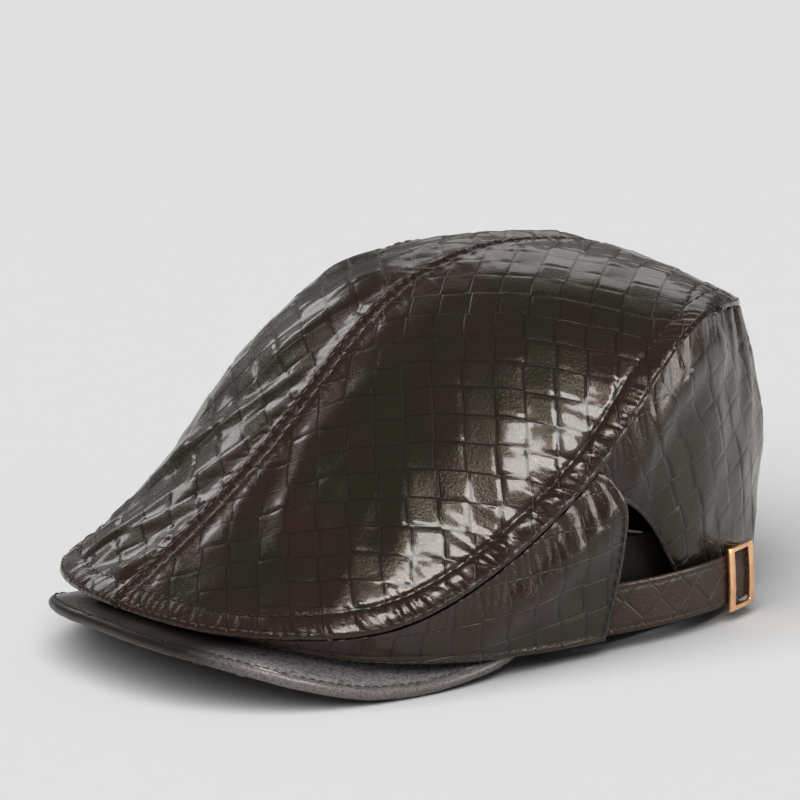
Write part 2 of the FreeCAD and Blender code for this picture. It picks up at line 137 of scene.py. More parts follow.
def waves(x: np.ndarray, y: np.ndarray, length: float, seed: int, count: int = 12) -> np.ndarray:
    """Soft irregular waves of about -1 to 1.

    Args:
        x: first coordinate of each point, in metres.
        y: second coordinate.
        length: usual wavelength.
        seed: which waves.
        count: how many sines are added up.

    Returns:
        The height at each point.
    """
    rng = np.random.default_rng(seed)
    total = np.zeros(np.broadcast(x, y).shape)
    for _ in range(count):
        way, phase = rng.uniform(0, 2 * math.pi, 2)
        pitch = length * rng.uniform(0.6, 1.8)
        total += np.sin(2 * math.pi * (x * math.cos(way) + y * math.sin(way)) / pitch + phase)
    return total / math.sqrt(count)


class SmoothLine:
    """A smooth line through given points, read by its share of length."""

    SAMPLES = 1400

    def __init__(self, points: np.ndarray, crossing: Crossing = Crossing.NEITHER) -> None:
        """Fit the line.

        Args:
            points: the points that it passes through, one per row.
            crossing: which end is mirrored across the middle plane before fitting.
        """
        twins = points * np.array([-1.0, 1.0, 1.0])
        whole, first, last = points, 0, len(points) - 1
        if crossing is Crossing.FIRST:
            whole, first = np.concatenate([twins[:0:-1], points]), len(points) - 1
            last = len(whole) - 1
        elif crossing is Crossing.LAST:
            whole = np.concatenate([points, twins[-2::-1]])
        knots = np.concatenate([[0.0], np.cumsum(np.linalg.norm(np.diff(whole, axis=0), axis=1))])
        self.points = self._cubic(knots, whole, np.linspace(knots[first], knots[last], self.SAMPLES))
        run = np.concatenate([[0.0], np.cumsum(np.linalg.norm(np.diff(self.points, axis=0), axis=1))])
        self.length = float(run[-1])
        self.shares = run / run[-1]

    @staticmethod
    def _cubic(knots: np.ndarray, values: np.ndarray, at: np.ndarray) -> np.ndarray:
        """A natural cubic spline through values at knots, read at other places.

        Args:
            knots: places of the values, rising.
            values: one row for each knot.
            at: places to read it at.

        Returns:
            One row for each place.
        """
        gap = np.diff(knots)
        count = len(knots)
        system = np.eye(count)
        right = np.zeros_like(values, dtype=float)
        slope = np.diff(values, axis=0) / gap[:, None]
        for i in range(1, count - 1):
            system[i, i - 1:i + 2] = gap[i - 1], 2 * (gap[i - 1] + gap[i]), gap[i]
            right[i] = 6 * (slope[i] - slope[i - 1])
        bend = np.linalg.solve(system, right)
        i = np.clip(np.searchsorted(knots, at, side="right") - 1, 0, count - 2)
        t = (at - knots[i])[:, None]
        h = gap[i][:, None]
        start = slope[i] - h * (2 * bend[i] + bend[i + 1]) / 6
        return values[i] + t * (start + t * (bend[i] / 2 + t * (bend[i + 1] - bend[i]) / (6 * h)))

    def at(self, shares: np.ndarray) -> np.ndarray:
        """Points of the line at shares of its length."""
        return np.stack([np.interp(shares, self.shares, self.points[:, k]) for k in range(3)], axis=-1)

    def share_near(self, point: np.ndarray) -> float:
        """The share of the line's length that lies nearest to a point."""
        return float(self.shares[np.argmin(np.linalg.norm(self.points - point, axis=1))])


class CapForm:
    """Seams and edges of the cap, and the plain surfaces of its panels between them."""

    head_centre = 48 * MM
    seam_lap = 1.6 * MM
    leather = 1.2 * MM
    crown_sweep = (84.0, 50.0)
    arch_lean = 1.6
    flap_bulge = 9 * MM
    back_bulge = (1.0 * MM, 11.2 * MM)
    back_bulge_fall = 1.5
    band_half_width = 79 * MM
    band_back = 127 * MM

    def __init__(self) -> None:
        """Fit every seam and edge to the frame's size."""
        crown_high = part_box("crown_left_panel")[1]
        self.scale = np.array([crown_high.x, -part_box("bill_edge_binding")[0].y, crown_high.z])
        self.centre_line = SmoothLine(self.place(CENTRE_LINE))
        self.crown_edge = SmoothLine(self.place(CROWN_EDGE), Crossing.FIRST)
        self.back_seam = SmoothLine(self.place(BACK_SEAM), Crossing.LAST)
        self.side_hem = SmoothLine(self.place(SIDE_HEM), Crossing.FIRST)
        self.bill_edge = SmoothLine(self.place(BILL_EDGE), Crossing.FIRST)
        self.back_edge = SmoothLine(self.place(BACK_EDGE), Crossing.LAST)
        turns = np.linspace(0, BILL_TIP_TURN, len(BILL_ROOT_RISE))
        root = self.band_line(turns, -0.4 * MM)
        root[:, 2] = np.array(BILL_ROOT_RISE) * self.scale[2]
        self.bill_root = SmoothLine(root, Crossing.FIRST)
        self.corner_share = self.crown_edge.share_near(self.place(CROWN_EDGE[FRONT_CORNER]))

    def place(self, shares: Sequence) -> np.ndarray:
        """Points in metres from shares of the cap's half width, half length and height."""
        return np.array(shares, float) * self.scale

    def band_line(self, turns: np.ndarray, inset: float) -> np.ndarray:
        """The sweatband's plan; a turn runs from the middle of the front, 0, to the back, pi.

        Args:
            turns: angles in radians.
            inset: how far inside the band's outer face.

        Returns:
            One point for each turn, at height 0.
        """
        middle = BAND_MIDDLE * self.scale[1]
        reach = np.where(np.abs(turns) > math.pi / 2, self.band_back - middle,
                         middle - BAND_FRONT * self.scale[1])
        half = self.band_half_width - inset
        return np.stack([half * np.sin(turns), middle - (reach - inset) * np.cos(turns),
                         np.zeros_like(turns)], axis=-1)

    def moved_in(self, points: np.ndarray, inwards: np.ndarray, down: float) -> np.ndarray:
        """Points moved towards the upright line through the head's centre, and down.

        Args:
            points: points to move.
            inwards: how far towards the line.
            down: how far down.

        Returns:
            The moved points.
        """
        centre = np.clip(points[..., 1], 0, self.head_centre)
        away = unit(np.stack([points[..., 0], points[..., 1] - centre, np.zeros_like(centre)], axis=-1))
        return points - away * np.asarray(inwards)[..., None] - UP * down

    def crown(self, rows: np.ndarray, columns: np.ndarray) -> np.ndarray:
        """The left half of the crown.

        Args:
            rows: shares from the front to the back.
            columns: shares from the middle seam to the edge.

        Returns:
            A grid of points.
        """
        stations = np.concatenate([rows, [0.0, 1.0]])[:, None]
        sweep = np.radians(self.crown_sweep[0] + (self.crown_sweep[1] - self.crown_sweep[0]) * stations)
        turn = columns[None, :] * sweep
        out = (np.sin(turn) / np.sin(sweep))[..., None]
        rise = ((np.cos(turn) - np.cos(sweep)) / (1 - np.cos(sweep)))[..., None]
        high = self.centre_line.at(stations[:, 0])[:, None, :]
        edge_shares = self.corner_share + (1 - self.corner_share) * stations[:, 0]
        low = self.crown_edge.at(edge_shares)[:, None, :]
        arch = np.concatenate([
            high[..., :1] + (low - high)[..., :1] * out,
            high[..., 1:2] + (low - high)[..., 1:2] * out ** self.arch_lean,
            low[..., 2:] + (high - low)[..., 2:] * rise,
        ], axis=-1)
        along = rows[:, None, None]
        at_front = self.crown_edge.at(self.corner_share * columns) - arch[-2]
        at_back = self.back_seam.at(1 - columns) - arch[-1]
        return arch[:-2] + at_front * (1 - along) ** 2 + at_back * along ** 2

    def side(self, rows: np.ndarray, columns: np.ndarray) -> np.ndarray:
        """The left side panel, from the middle of the front to its free rear edge, top to hem.

        Args:
            rows: shares of the way round, one for each row.
            columns: shares of the way from edge to edge, one for each column.

        Returns:
            Rows by columns by three, in metres.
        """
        end = self.crown_edge.share_near(self.place(SIDE_TOP))
        top = self.moved_in(self.crown_edge.at(rows * end), self.seam_lap, self.seam_lap)[:, None, :]
        hem = self.side_hem.at(rows)[:, None, :]
        s = columns[None, :, None]
        bow = np.array([0.15, 1.0, 0.0]) * self.flap_bulge * rows[:, None, None] ** 4
        return top * (1 - s) + hem * s + bow * np.sin(math.pi * s ** 0.7)

    def back(self, rows: np.ndarray, columns: np.ndarray) -> np.ndarray:
        """The whole back panel, from the wearer's left front corner to the right one, top to edge.

        Args:
            rows: shares of the way round, one for each row.
            columns: shares of the way from edge to edge, one for each column.

        Returns:
            Rows by columns by three, in metres.
        """
        along = 1 - np.abs(2 * rows - 1)
        start = self.crown_edge.share_near(self.place(BACK_TOP))
        side_length = self.crown_edge.length * (1 - start)
        total = side_length + self.back_seam.length
        fine = np.linspace(0, 1, 601)
        run = fine * total
        line = np.where((run < side_length)[:, None],
                        self.crown_edge.at(start + (1 - start) * np.minimum(run / side_length, 1)),
                        self.back_seam.at(np.clip((run - side_length) / self.back_seam.length, 0, 1)))
        window = np.hanning(33)
        window /= window.sum()
        mirrored = line[-2:-40:-1] * np.array([-1.0, 1.0, 1.0])
        padded = np.concatenate([np.repeat(line[:1], 16, axis=0), line, mirrored[:16]])
        line = np.stack([np.convolve(padded[:, k], window, mode="valid") for k in range(3)], axis=-1)
        top = np.stack([np.interp(along, fine, line[:, k]) for k in range(3)], axis=-1)
        tuck = 2 * self.leather * np.clip(1 - along / 0.15, 0, 1)
        top = self.moved_in(top, self.seam_lap + tuck, self.seam_lap)[:, None, :]
        edge = self.back_edge.at(along)[:, None, :]
        s = columns[None, :, None]
        points = top * (1 - s) + edge * s
        centre = self.head_centre * np.minimum(1, 2 * along)[:, None]
        away = unit(np.stack([points[..., 0], points[..., 1] - centre, np.zeros_like(points[..., 0])],
                             axis=-1))
        fullest = 1 / (1 + self.back_bulge_fall)
        peak = fullest * (1 - fullest) ** self.back_bulge_fall
        swell = self.back_bulge[0] + (self.back_bulge[1] - self.back_bulge[0]) * along ** 2
        bulge = s * (1 - s) ** self.back_bulge_fall / peak
        points = points + away * swell[:, None, None] * bulge
        points[..., 0] *= np.where(rows > 0.5, -1, 1)[:, None]
        return points

    def bill(self, rows: np.ndarray, columns: np.ndarray, rim: float) -> np.ndarray:
        """The underside of the bill, from the wearer's left tip to the right one, rim to root.

        Args:
            rows: shares of the way round, one for each row.
            columns: shares of the way from edge to edge, one for each column.
            rim: how far inside the edge the first column is.

        Returns:
            Rows by columns by three, in metres.
        """
        along = np.abs(1 - 2 * rows)
        outer = self.bill_edge.at(along)
        ahead = self.bill_edge.at(np.clip(along + 0.004, 0, 1)) - self.bill_edge.at(
            np.clip(along - 0.004, 0, 1))
        ahead[along < 0.004] = (1, 0, 0)
        inwards = unit(np.stack([-ahead[:, 1], ahead[:, 0], np.zeros(len(ahead))], axis=-1))
        start = (outer + inwards * rim)[:, None, :]
        root = self.bill_root.at(along)[:, None, :]
        s = columns[None, :, None]
        points = start * (1 - s) + root * s
        points[..., 0] *= np.where(rows > 0.5, -1, 1)[:, None]
        return points

    def band(self, rows: np.ndarray, columns: np.ndarray, height: float, inset: float) -> np.ndarray:
        """The sweatband, open for a butt joint at the middle of the back, foot to top.

        Args:
            rows: shares of the way round, one for each row.
            columns: shares of the way from edge to edge, one for each column.
            height: the band's height.
            inset: how far inside its outer face.

        Returns:
            Rows by columns by three, in metres.
        """
        turns = (2 * rows - 1) * (math.pi - 0.02)
        points = self.band_line(turns, inset)
        ahead = np.maximum(0, np.cos(turns))
        lift = ahead ** 1.5 * (BILL_ROOT_RISE[0] - 0.040) * self.scale[2]
        fall = 0.040 * self.scale[2] * (0.6 + 0.4 * np.cos(turns))
        points[:, 2] = lift + np.maximum(fall, 1.2 * MM) + 1.8 * MM
        return points[:, None, :] + UP * (height * columns)[None, :, None]


FORM = CapForm()
HEART = np.array([0.0, 0.02, 0.03])     # a point inside the head space


class Surface:
    """A grid of points on a panel, with the lengths and directions that its details follow."""

    def __init__(self, points: np.ndarray, outwards: Optional[np.ndarray] = None) -> None:
        """Take a grid.

        Args:
            points: rows by columns by three.
            outwards: a direction on the outer side; by default away from the head space.
        """
        self.points = points
        middle = points[points.shape[0] // 2, points.shape[1] // 2]
        self.outwards = middle - HEART if outwards is None else outwards

    def normals(self) -> np.ndarray:
        """Outward unit normals of the grid.

        Returns:
            One unit vector for each point.
        """
        cross = unit(np.cross(np.gradient(self.points, axis=0), np.gradient(self.points, axis=1)))
        middle = cross[cross.shape[0] // 2, cross.shape[1] // 2]
        return cross * np.sign(middle @ self.outwards)

    def run(self, axis: int) -> np.ndarray:
        """Length walked along rows (axis 0) or along columns (axis 1) to each point.

        Args:
            axis: 0 or 1.

        Returns:
            One length for each point, in metres.
        """
        steps = np.linalg.norm(np.diff(self.points, axis=axis), axis=-1)
        walked = np.cumsum(steps, axis=axis)
        pad = [(1, 0), (0, 0)] if axis == 0 else [(0, 0), (1, 0)]
        return np.pad(walked, pad)

    def raised(self, height: np.ndarray) -> "Surface":
        """The surface with each point moved outwards by its own height."""
        return Surface(self.points + self.normals() * height[..., None], self.outwards)

    def mirrored(self) -> "Surface":
        """The same surface on the wearer's other side."""
        flip = np.array([-1.0, 1.0, 1.0])
        return Surface(self.points * flip, self.outwards * flip)

    def flat(self, step: int = 6, rounds: int = 900) -> np.ndarray:
        """The flat cut of the panel.

        Args:
            step: how many grid lines one line of the flattened net stands for.
            rounds: how often the net's threads are let back towards their true lengths.

        Returns:
            Rows by columns by two: across and along the cut, in metres.
        """
        row_count, column_count = self.points.shape[:2]
        rows = np.unique(np.append(np.arange(0, row_count, step), row_count - 1))
        columns = np.unique(np.append(np.arange(0, column_count, step), column_count - 1))
        net = self.points[np.ix_(rows, columns)]
        across, along = self.run(1)[np.ix_(rows, columns)], self.run(0)[np.ix_(rows, columns)]
        q = np.stack([across, along.mean(axis=1, keepdims=True) + 0 * along], axis=-1)
        spans = [((slice(1, None), slice(None)), (slice(None, -1), slice(None))),
                 ((slice(None), slice(1, None)), (slice(None), slice(None, -1))),
                 ((slice(1, None), slice(1, None)), (slice(None, -1), slice(None, -1))),
                 ((slice(1, None), slice(None, -1)), (slice(None, -1), slice(1, None)))]
        true = [np.linalg.norm(net[a] - net[b], axis=-1) for a, b in spans]
        for _ in range(rounds):
            shift = np.zeros_like(q)
            for (a, b), length in zip(spans, true):
                gap = q[a] - q[b]
                now = np.maximum(np.linalg.norm(gap, axis=-1), 1e-9)
                pull = gap * ((now - length) / now)[..., None] * 0.16
                shift[a] -= pull
                shift[b] += pull
            q = q + shift
        fine = np.empty((row_count, len(columns), 2))
        for j in range(len(columns)):
            for k in range(2):
                fine[:, j, k] = np.interp(np.arange(row_count), rows, q[:, j, k])
        full = np.empty((row_count, column_count, 2))
        for i in range(row_count):
            for k in range(2):
                full[i, :, k] = np.interp(np.arange(column_count), columns, fine[i, :, k])
        return full


def embossed(flat: np.ndarray, turns: tuple[float, float],
             shift: tuple[float, float] = (0.0, 0.0)) -> np.ndarray:
    """Coordinates of the embossed squares on a cut, one unit per square.

    Args:
        flat: the flat cut, in metres.
        turns: how far each family of lines is turned on it, in degrees; they differ where it is stretched.
        shift: where the pattern starts, in squares.

    Returns:
        Rows by columns by two.
    """
    one, two = np.radians(turns)
    first = flat[..., 1] * math.cos(one) + flat[..., 0] * math.sin(one)
    second = flat[..., 0] * math.cos(two) - flat[..., 1] * math.sin(two)
    return np.stack([first / CELL + shift[0], second / CELL + shift[1]], axis=-1)


def cushioned(squares: np.ndarray, tilt: float = 0.3 * MM, crown: float = 0.13 * MM) -> np.ndarray:
    """Height of the embossed squares: each one is slightly domed and tilted its own way.

    Args:
        squares: place in the pattern, one unit for each square.
        tilt: how far a square leans.
        crown: how far its middle domes.

    Returns:
        Height at each point, in metres.
    """
    row = np.floor(squares[..., 1])
    x = squares[..., 0] + 0.06 * np.sin(2.7 * row + 0.6)
    column = np.floor(x)
    y = squares[..., 1] + 0.035 * np.sin(3.9 * column + 1.1)
    row = np.floor(y)
    x, y = x - column, y - row
    rim = smooth_step(np.minimum(x, 1 - x), 0.0, 0.14) * smooth_step(np.minimum(y, 1 - y), 0.0, 0.14)
    lean = np.sin(2.1 * column + 5.7 * row + 0.4) * (2 * x - 1) + np.sin(
        4.3 * column - 3.1 * row + 1.9) * (2 * y - 1)
    return rim * (crown + tilt * lean)


class Seam:
    """A sewn line, which gives every point of a panel its distance and its place along the seam."""

    def __init__(self, line: np.ndarray) -> None:
        """Take the seam's points in order."""
        self.line = line
        self.run = np.concatenate([[0.0], np.cumsum(np.linalg.norm(np.diff(line, axis=0), axis=1))])

    def near(self, points: np.ndarray) -> tuple[np.ndarray, np.ndarray]:
        """Place along the seam and distance from it, for each point of a grid.

        Args:
            points: rows by columns by three.

        Returns:
            Place along the seam, and distance from it, for each point.
        """
        tree_line = self.line[::3]
        flat = points.reshape(-1, 3)
        place, distance = np.empty(len(flat)), np.empty(len(flat))
        for start in range(0, len(flat), 4000):
            part = flat[start:start + 4000]
            square = (part ** 2).sum(1)[:, None] + (tree_line ** 2).sum(1)[None, :] - 2 * part @ tree_line.T
            best = square.argmin(1)
            low = np.clip(best, 0, len(tree_line) - 2)
            begin, step = tree_line[low], tree_line[low + 1] - tree_line[low]
            t = ((part - begin) * step).sum(1) / (step ** 2).sum(1)
            t = np.clip(t, -1, 1)
            foot = begin + step * t[:, None]
            place[start:start + 4000] = self.run[::3][low] + t * np.linalg.norm(step, axis=1)
            distance[start:start + 4000] = np.linalg.norm(part - foot, axis=1)
        return place.reshape(points.shape[:-1]), distance.reshape(points.shape[:-1])


def puckers(place: np.ndarray, distance: np.ndarray, pitch: float, seed: int) -> np.ndarray:
    """Uneven gathers square to a seam, from -1 to 1.

    Args:
        place: place along the seam.
        distance: distance from it.
        pitch: mean length from one gather to the next.
        seed: which set of gathers.

    Returns:
        One value for each point.
    """
    drift = 0.9 * waves(place, distance * 0.6, 5 * pitch, seed)
    strength = 0.6 + 0.4 * waves(place, distance * 0, 3 * pitch, seed + 1)
    return np.sin(2 * math.pi * (place + 0.35 * distance) / pitch + 2.2 * drift) * strength


# --- Making pieces from grids ---


def link(name: str, mesh: bpy.types.Mesh) -> bpy.types.Object:
    """An object of that name in the scene, holding the mesh.

    Args:
        name: name of the object.
        mesh: its mesh.

    Returns:
        The object.
    """
    piece = bpy.data.objects.new(name, mesh)
    bpy.context.scene.collection.objects.link(piece)
    return piece


def grid_mesh(name: str, surface: Surface, maps: dict[str, np.ndarray]) -> bpy.types.Mesh:
    """A mesh over a surface's grid, facing outwards, with its own UV maps.

    Args:
        name: name of the mesh.
        surface: the grid.
        maps: for each UV map, a pair of coordinates at each point.

    Returns:
        The mesh, smooth shaded.
    """
    rows, columns = surface.points.shape[:2]
    bm = bmesh.new()
    for map_name in maps:
        bm.loops.layers.uv.new(map_name)
    bmesh.ops.create_grid(bm, x_segments=columns - 1, y_segments=rows - 1, size=1)
    cross = np.cross(surface.points[rows // 2, columns // 2 + 1] - surface.points[rows // 2, columns // 2],
                     surface.points[rows // 2 + 1, columns // 2] - surface.points[rows // 2, columns // 2])
    if cross @ surface.outwards < 0:
        bmesh.ops.reverse_faces(bm, faces=bm.faces)
    mesh = bpy.data.meshes.new(name)
    bm.to_mesh(mesh)
    bm.free()
    mesh.vertices.foreach_set("co", surface.points.reshape(-1))
    corners = np.empty(len(mesh.loops), np.int32)
    mesh.loops.foreach_get("vertex_index", corners)
    for map_name, values in maps.items():
        mesh.uv_layers[map_name].data.foreach_set("uv", values.reshape(-1, 2)[corners].reshape(-1))
    mesh.shade_smooth()
    mesh.update()
    return mesh


def sheet_piece(name: str, surface: Surface, thickness: float, maps: dict[str, np.ndarray],
                finish: bpy.types.Material, rounding: float = 0.0) -> bpy.types.Object:
    """A sheet of even thickness whose outer face is the surface.

    Args:
        name: name of the piece.
        surface: its outer face.
        thickness: how far it reaches inwards.
        maps: its UV maps.
        finish: its material.
        rounding: how far its cut edges are rounded; 0 leaves them.

    Returns:
        The piece.
    """
    piece = link(name, grid_mesh(name, surface, maps))
    wall = piece.modifiers.new("thickness", "SOLIDIFY")
    wall.thickness = thickness
    wall.offset = -1
    if rounding:
        edge = piece.modifiers.new("rounded_edge", "BEVEL")
        edge.width = rounding
        edge.segments = 2
        edge.limit_method = "ANGLE"
        edge.angle_limit = math.radians(60)
    piece.data.materials.append(finish)
    return piece


@dataclass(frozen=True)
class Bend:
    """A strap body and two points, from one to the other, for a piece that lies between the cap and that
    strap.
    """

    body: str
    start: tuple[float, float, float]
    end: tuple[float, float, float]


def settle(piece: bpy.types.Object, nodes: Sequence[str] = (), body: str = "cap",
           bend: Optional[Bend] = None) -> bpy.types.Object:
    """Tie a finished piece to the frame.

    Args:
        piece: the piece, in place.
        nodes: the CAD nodes that it stands for.
        body: the body that it rides on.
        bend: given for a piece between the cap and a strap, which is then baked in place instead of tied to a
            body.

    Returns:
        The piece.
    """
    if bend is None:
        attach(piece, body)
    else:
        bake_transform(piece)
    if nodes:
        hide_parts(*nodes)
    LOG.info("%s: %d points, on %s", piece.name, len(piece.data.vertices), body)
    return piece


LEAST_CUT = 11 * MM         # no side of a cut that cut_size gives is smaller; this rounds the 10 mm seam tape up to 11
LEAST_SHARE = 0.31          # no cut's area that cut_size gives is a smaller share of its width times length


def cut_size(flat: np.ndarray, surface: Surface) -> dict[str, object]:
    """The width and length are those of the flat net, which most panels take before folds, gathers and swell
    are added, so they leave those out. The area is that of the finished surface.

    Args:
        flat: place across and along the cut, in metres.
        surface: the panel's finished outer surface.

    Returns:
        The keyword values flat and area.
    """
    extent = flat.reshape(-1, 2).max(0) - flat.reshape(-1, 2).min(0)
    steps = np.cross(surface.points[1:, :-1] - surface.points[:-1, :-1],
                     surface.points[:-1, 1:] - surface.points[:-1, :-1])
    area = float(np.linalg.norm(steps, axis=-1).sum())
    width, length = float(max(extent[0], LEAST_CUT)), float(max(extent[1], LEAST_CUT))
    return {"flat": (width, length), "area": min(max(area, LEAST_SHARE * width * length), width * length)}


# --- Stitches ---


class Thread:
    """Rows of stitches laid on finished pieces."""

    def __init__(self, length: float = 2.7 * MM, gap: float = 1.4 * MM, radius: float = 0.30 * MM) -> None:
        """Set the size of one stitch and the gap to the next.

        Args:
            length: length of a stitch.
            gap: length from one stitch to the next.
            radius: half the thread's thickness.
        """
        self.length = length
        self.gap = gap
        self.radius = radius

    def lay(self, name: str, lines: Sequence[np.ndarray], on: Sequence[bpy.types.Object],
            finish: bpy.types.Material, lift: float = 0.1 * MM,
            keep: Optional[Callable[[np.ndarray], bool]] = None) -> bpy.types.Object:
        """Sew along lines.

        Args:
            name: name of the piece.
            lines: the lines to sew along, as points in order.
            on: the pieces that the stitches lie on; each stitch drops to the nearest point of their faces.
            finish: the thread's material.
            lift: how far a stitch's middle lies above the face.
            keep: says whether a stitch at a point is sewn.

        Returns:
            One piece with all the stitches.
        """
        tree = self._tree(on)
        bm = bmesh.new()
        for line in lines:
            run = np.concatenate([[0.0], np.cumsum(np.linalg.norm(np.diff(line, axis=0), axis=1))])
            count = int(run[-1] / (self.length + self.gap))
            for k in range(count):
                middle = (k + 0.5) * (self.length + self.gap)
                ends = [np.array([np.interp(middle + d, run, line[:, a]) for a in range(3)])
                        for d in (-self.length / 2, self.length / 2)]
                if keep is not None and not keep((ends[0] + ends[1]) / 2):
                    continue
                found = [tree.find_nearest(Vector(end)) for end in ends]
                if found[0][0] is None or found[1][0] is None:
                    continue
                normal = (found[0][1] + found[1][1]).normalized()
                ahead = found[1][0] - found[0][0]
                if ahead.length < self.length / 3:
                    continue
                ahead.normalize()
                aside = normal.cross(ahead).normalized()
                up = ahead.cross(aside)
                place = (found[0][0] + found[1][0]) / 2 + up * lift
                turn = Matrix((ahead, aside, up)).transposed().to_4x4()
                size = Matrix.Diagonal((self.length / 2, self.radius, self.radius, 1))
                bmesh.ops.create_uvsphere(bm, u_segments=7, v_segments=5, radius=1,
                                          matrix=Matrix.Translation(place) @ turn @ size
                                          @ Matrix.Rotation(math.pi / 2, 4, "Y"))
        mesh = bpy.data.meshes.new(name)
        bm.to_mesh(mesh)
        bm.free()
        mesh.shade_smooth()
        piece = link(name, mesh)
        piece.data.materials.append(finish)
        return piece

    @staticmethod
    def _tree(pieces: Sequence[bpy.types.Object]) -> BVHTree:
        """A search tree over the outer faces of pieces.

        Args:
            pieces: the pieces that the stitches lie on.

        Returns:
            A tree of all their faces.
        """
        corners, faces = [], []
        for piece in pieces:
            offset = len(corners)
            corners.extend(v.co.copy() for v in piece.data.vertices)
            faces.extend([offset + i for i in p.vertices] for p in piece.data.polygons)
        return BVHTree.FromPolygons(corners, faces)


# --- Node materials ---


class Value:
    """A socket; arithmetic on it adds Math nodes."""

    def __init__(self, paint: "Paint", socket: bpy.types.NodeSocket) -> None:
        """Wrap a socket of a material."""
        self.paint = paint
        self.socket = socket

    def __add__(self, other: "Value | float") -> "Value":
        """Sum."""
        return self.paint.math("ADD", self, other)

    __radd__ = __add__

    def __sub__(self, other: "Value | float") -> "Value":
        """Difference."""
        return self.paint.math("SUBTRACT", self, other)

    def __rsub__(self, other: float) -> "Value":
        """Difference from a number."""
        return self.paint.math("SUBTRACT", other, self)

    def __mul__(self, other: "Value | float") -> "Value":
        """Product."""
        return self.paint.math("MULTIPLY", self, other)

    __rmul__ = __mul__

    def sine(self) -> "Value":
        """Sine of an angle in radians."""
        return self.paint.math("SINE", self)

    def floor(self) -> "Value":
        """The whole number below."""
        return self.paint.math("FLOOR", self)

    def size(self) -> "Value":
        """The value without its sign."""
        return self.paint.math("ABSOLUTE", self)

    def most(self, other: "Value | float") -> "Value":
        """The greater of two values."""
        return self.paint.math("MAXIMUM", self, other)

    def rise(self, low: float, high: float) -> "Value":
        """A smooth rise from 0 at low to 1 at high."""
        return self.paint.node("ShaderNodeMapRange", {"interpolation_type": "SMOOTHSTEP"},
                               {0: self, 1: low, 2: high, 3: 0.0, 4: 1.0})


Colour = tuple[float, float, float]
WARM: Colour = (1.0, 0.86, 0.72)
AMBER: Colour = (1.0, 0.95, 0.88)
POLISH = 1.38               # index of refraction of the leather's finish


class Paint:
    """One node material under construction."""

    def __init__(self, name: str) -> None:
        """Start an empty material.

        Args:
            name: name of the material.
        """
        self.material = bpy.data.materials.new(name)
        self.material.use_nodes = True
        self.tree = self.material.node_tree
        self.tree.nodes.clear()

    def node(self, kind: str, settings: Optional[dict[str, object]] = None,
             inputs: Optional[dict[object, object]] = None, output: object = 0) -> Value:
        """Add a node.

        Args:
            kind: the node's type.
            settings: its own properties, set first.
            inputs: values or links, by socket name or number.
            output: the socket that is returned.

        Returns:
            The output, wrapped.
        """
        made = self.tree.nodes.new(kind)
        for key, value in (settings or {}).items():
            setattr(made, key, value)
        for key, value in (inputs or {}).items():
            if isinstance(value, Value):
                self.tree.links.new(value.socket, made.inputs[key])
            elif isinstance(value, tuple) and len(value) == 3 and made.inputs[key].type == "RGBA":
                made.inputs[key].default_value = (*value, 1.0)
            else:
                made.inputs[key].default_value = value
        return Value(self, made.outputs[output])

    def math(self, operation: str, *values: "Value | float") -> Value:
        """A Math node on values."""
        return self.node("ShaderNodeMath", {"operation": operation}, dict(enumerate(values)))

    def mix(self, share: Value, first: "Value | Colour", second: "Value | Colour") -> Value:
        """A colour between two colours."""
        return self.node("ShaderNodeMix", {"data_type": "RGBA"}, {0: share, 6: first, 7: second}, 2)

    def map(self, name: str) -> Value:
        """A UV map of the piece."""
        return self.node("ShaderNodeUVMap", {"uv_map": name})

    def place(self) -> Value:
        """Object coordinates, in metres."""
        return self.node("ShaderNodeTexCoord", {}, {}, "Object")

    def parts(self, vector: Value) -> tuple[Value, Value]:
        """The first two components of a vector."""
        split = self.node("ShaderNodeSeparateXYZ", {}, {0: vector})
        return split, Value(self, split.socket.node.outputs[1])

    def noise(self, vector: Value, scale: float, detail: float = 3.0, rough: float = 0.5,
              twist: float = 0.0) -> Value:
        """Cloudy noise from 0 to 1."""
        return self.node("ShaderNodeTexNoise", {}, {"Vector": vector, "Scale": scale, "Detail": detail,
                                                    "Roughness": rough, "Distortion": twist})

    def pebbles(self, vector: Value, scale: float) -> Value:
        """Distance to the nearest pebble's middle."""
        return self.node("ShaderNodeTexVoronoi", {"feature": "SMOOTH_F1"},
                         {"Vector": vector, "Scale": scale, "Smoothness": 0.6})

    def bump(self, height: Value) -> Value:
        """A normal from a height in metres."""
        return self.node("ShaderNodeBump", {}, {"Strength": 1.0, "Distance": 1.0, "Height": height})

    def finish(self, sockets: dict[str, object]) -> bpy.types.Material:
        """Close the material with a Principled shader that has these sockets.

        Args:
            sockets: values or links by socket name.

        Returns:
            The finished material.
        """
        shader = self.node("ShaderNodeBsdfPrincipled", {}, sockets)
        self.node_out(shader)
        return self.material

    def node_out(self, shader: Value) -> None:
        """Link a shader to the material's output."""
        out = self.tree.nodes.new("ShaderNodeOutputMaterial")
        self.tree.links.new(shader.socket, out.inputs["Surface"])


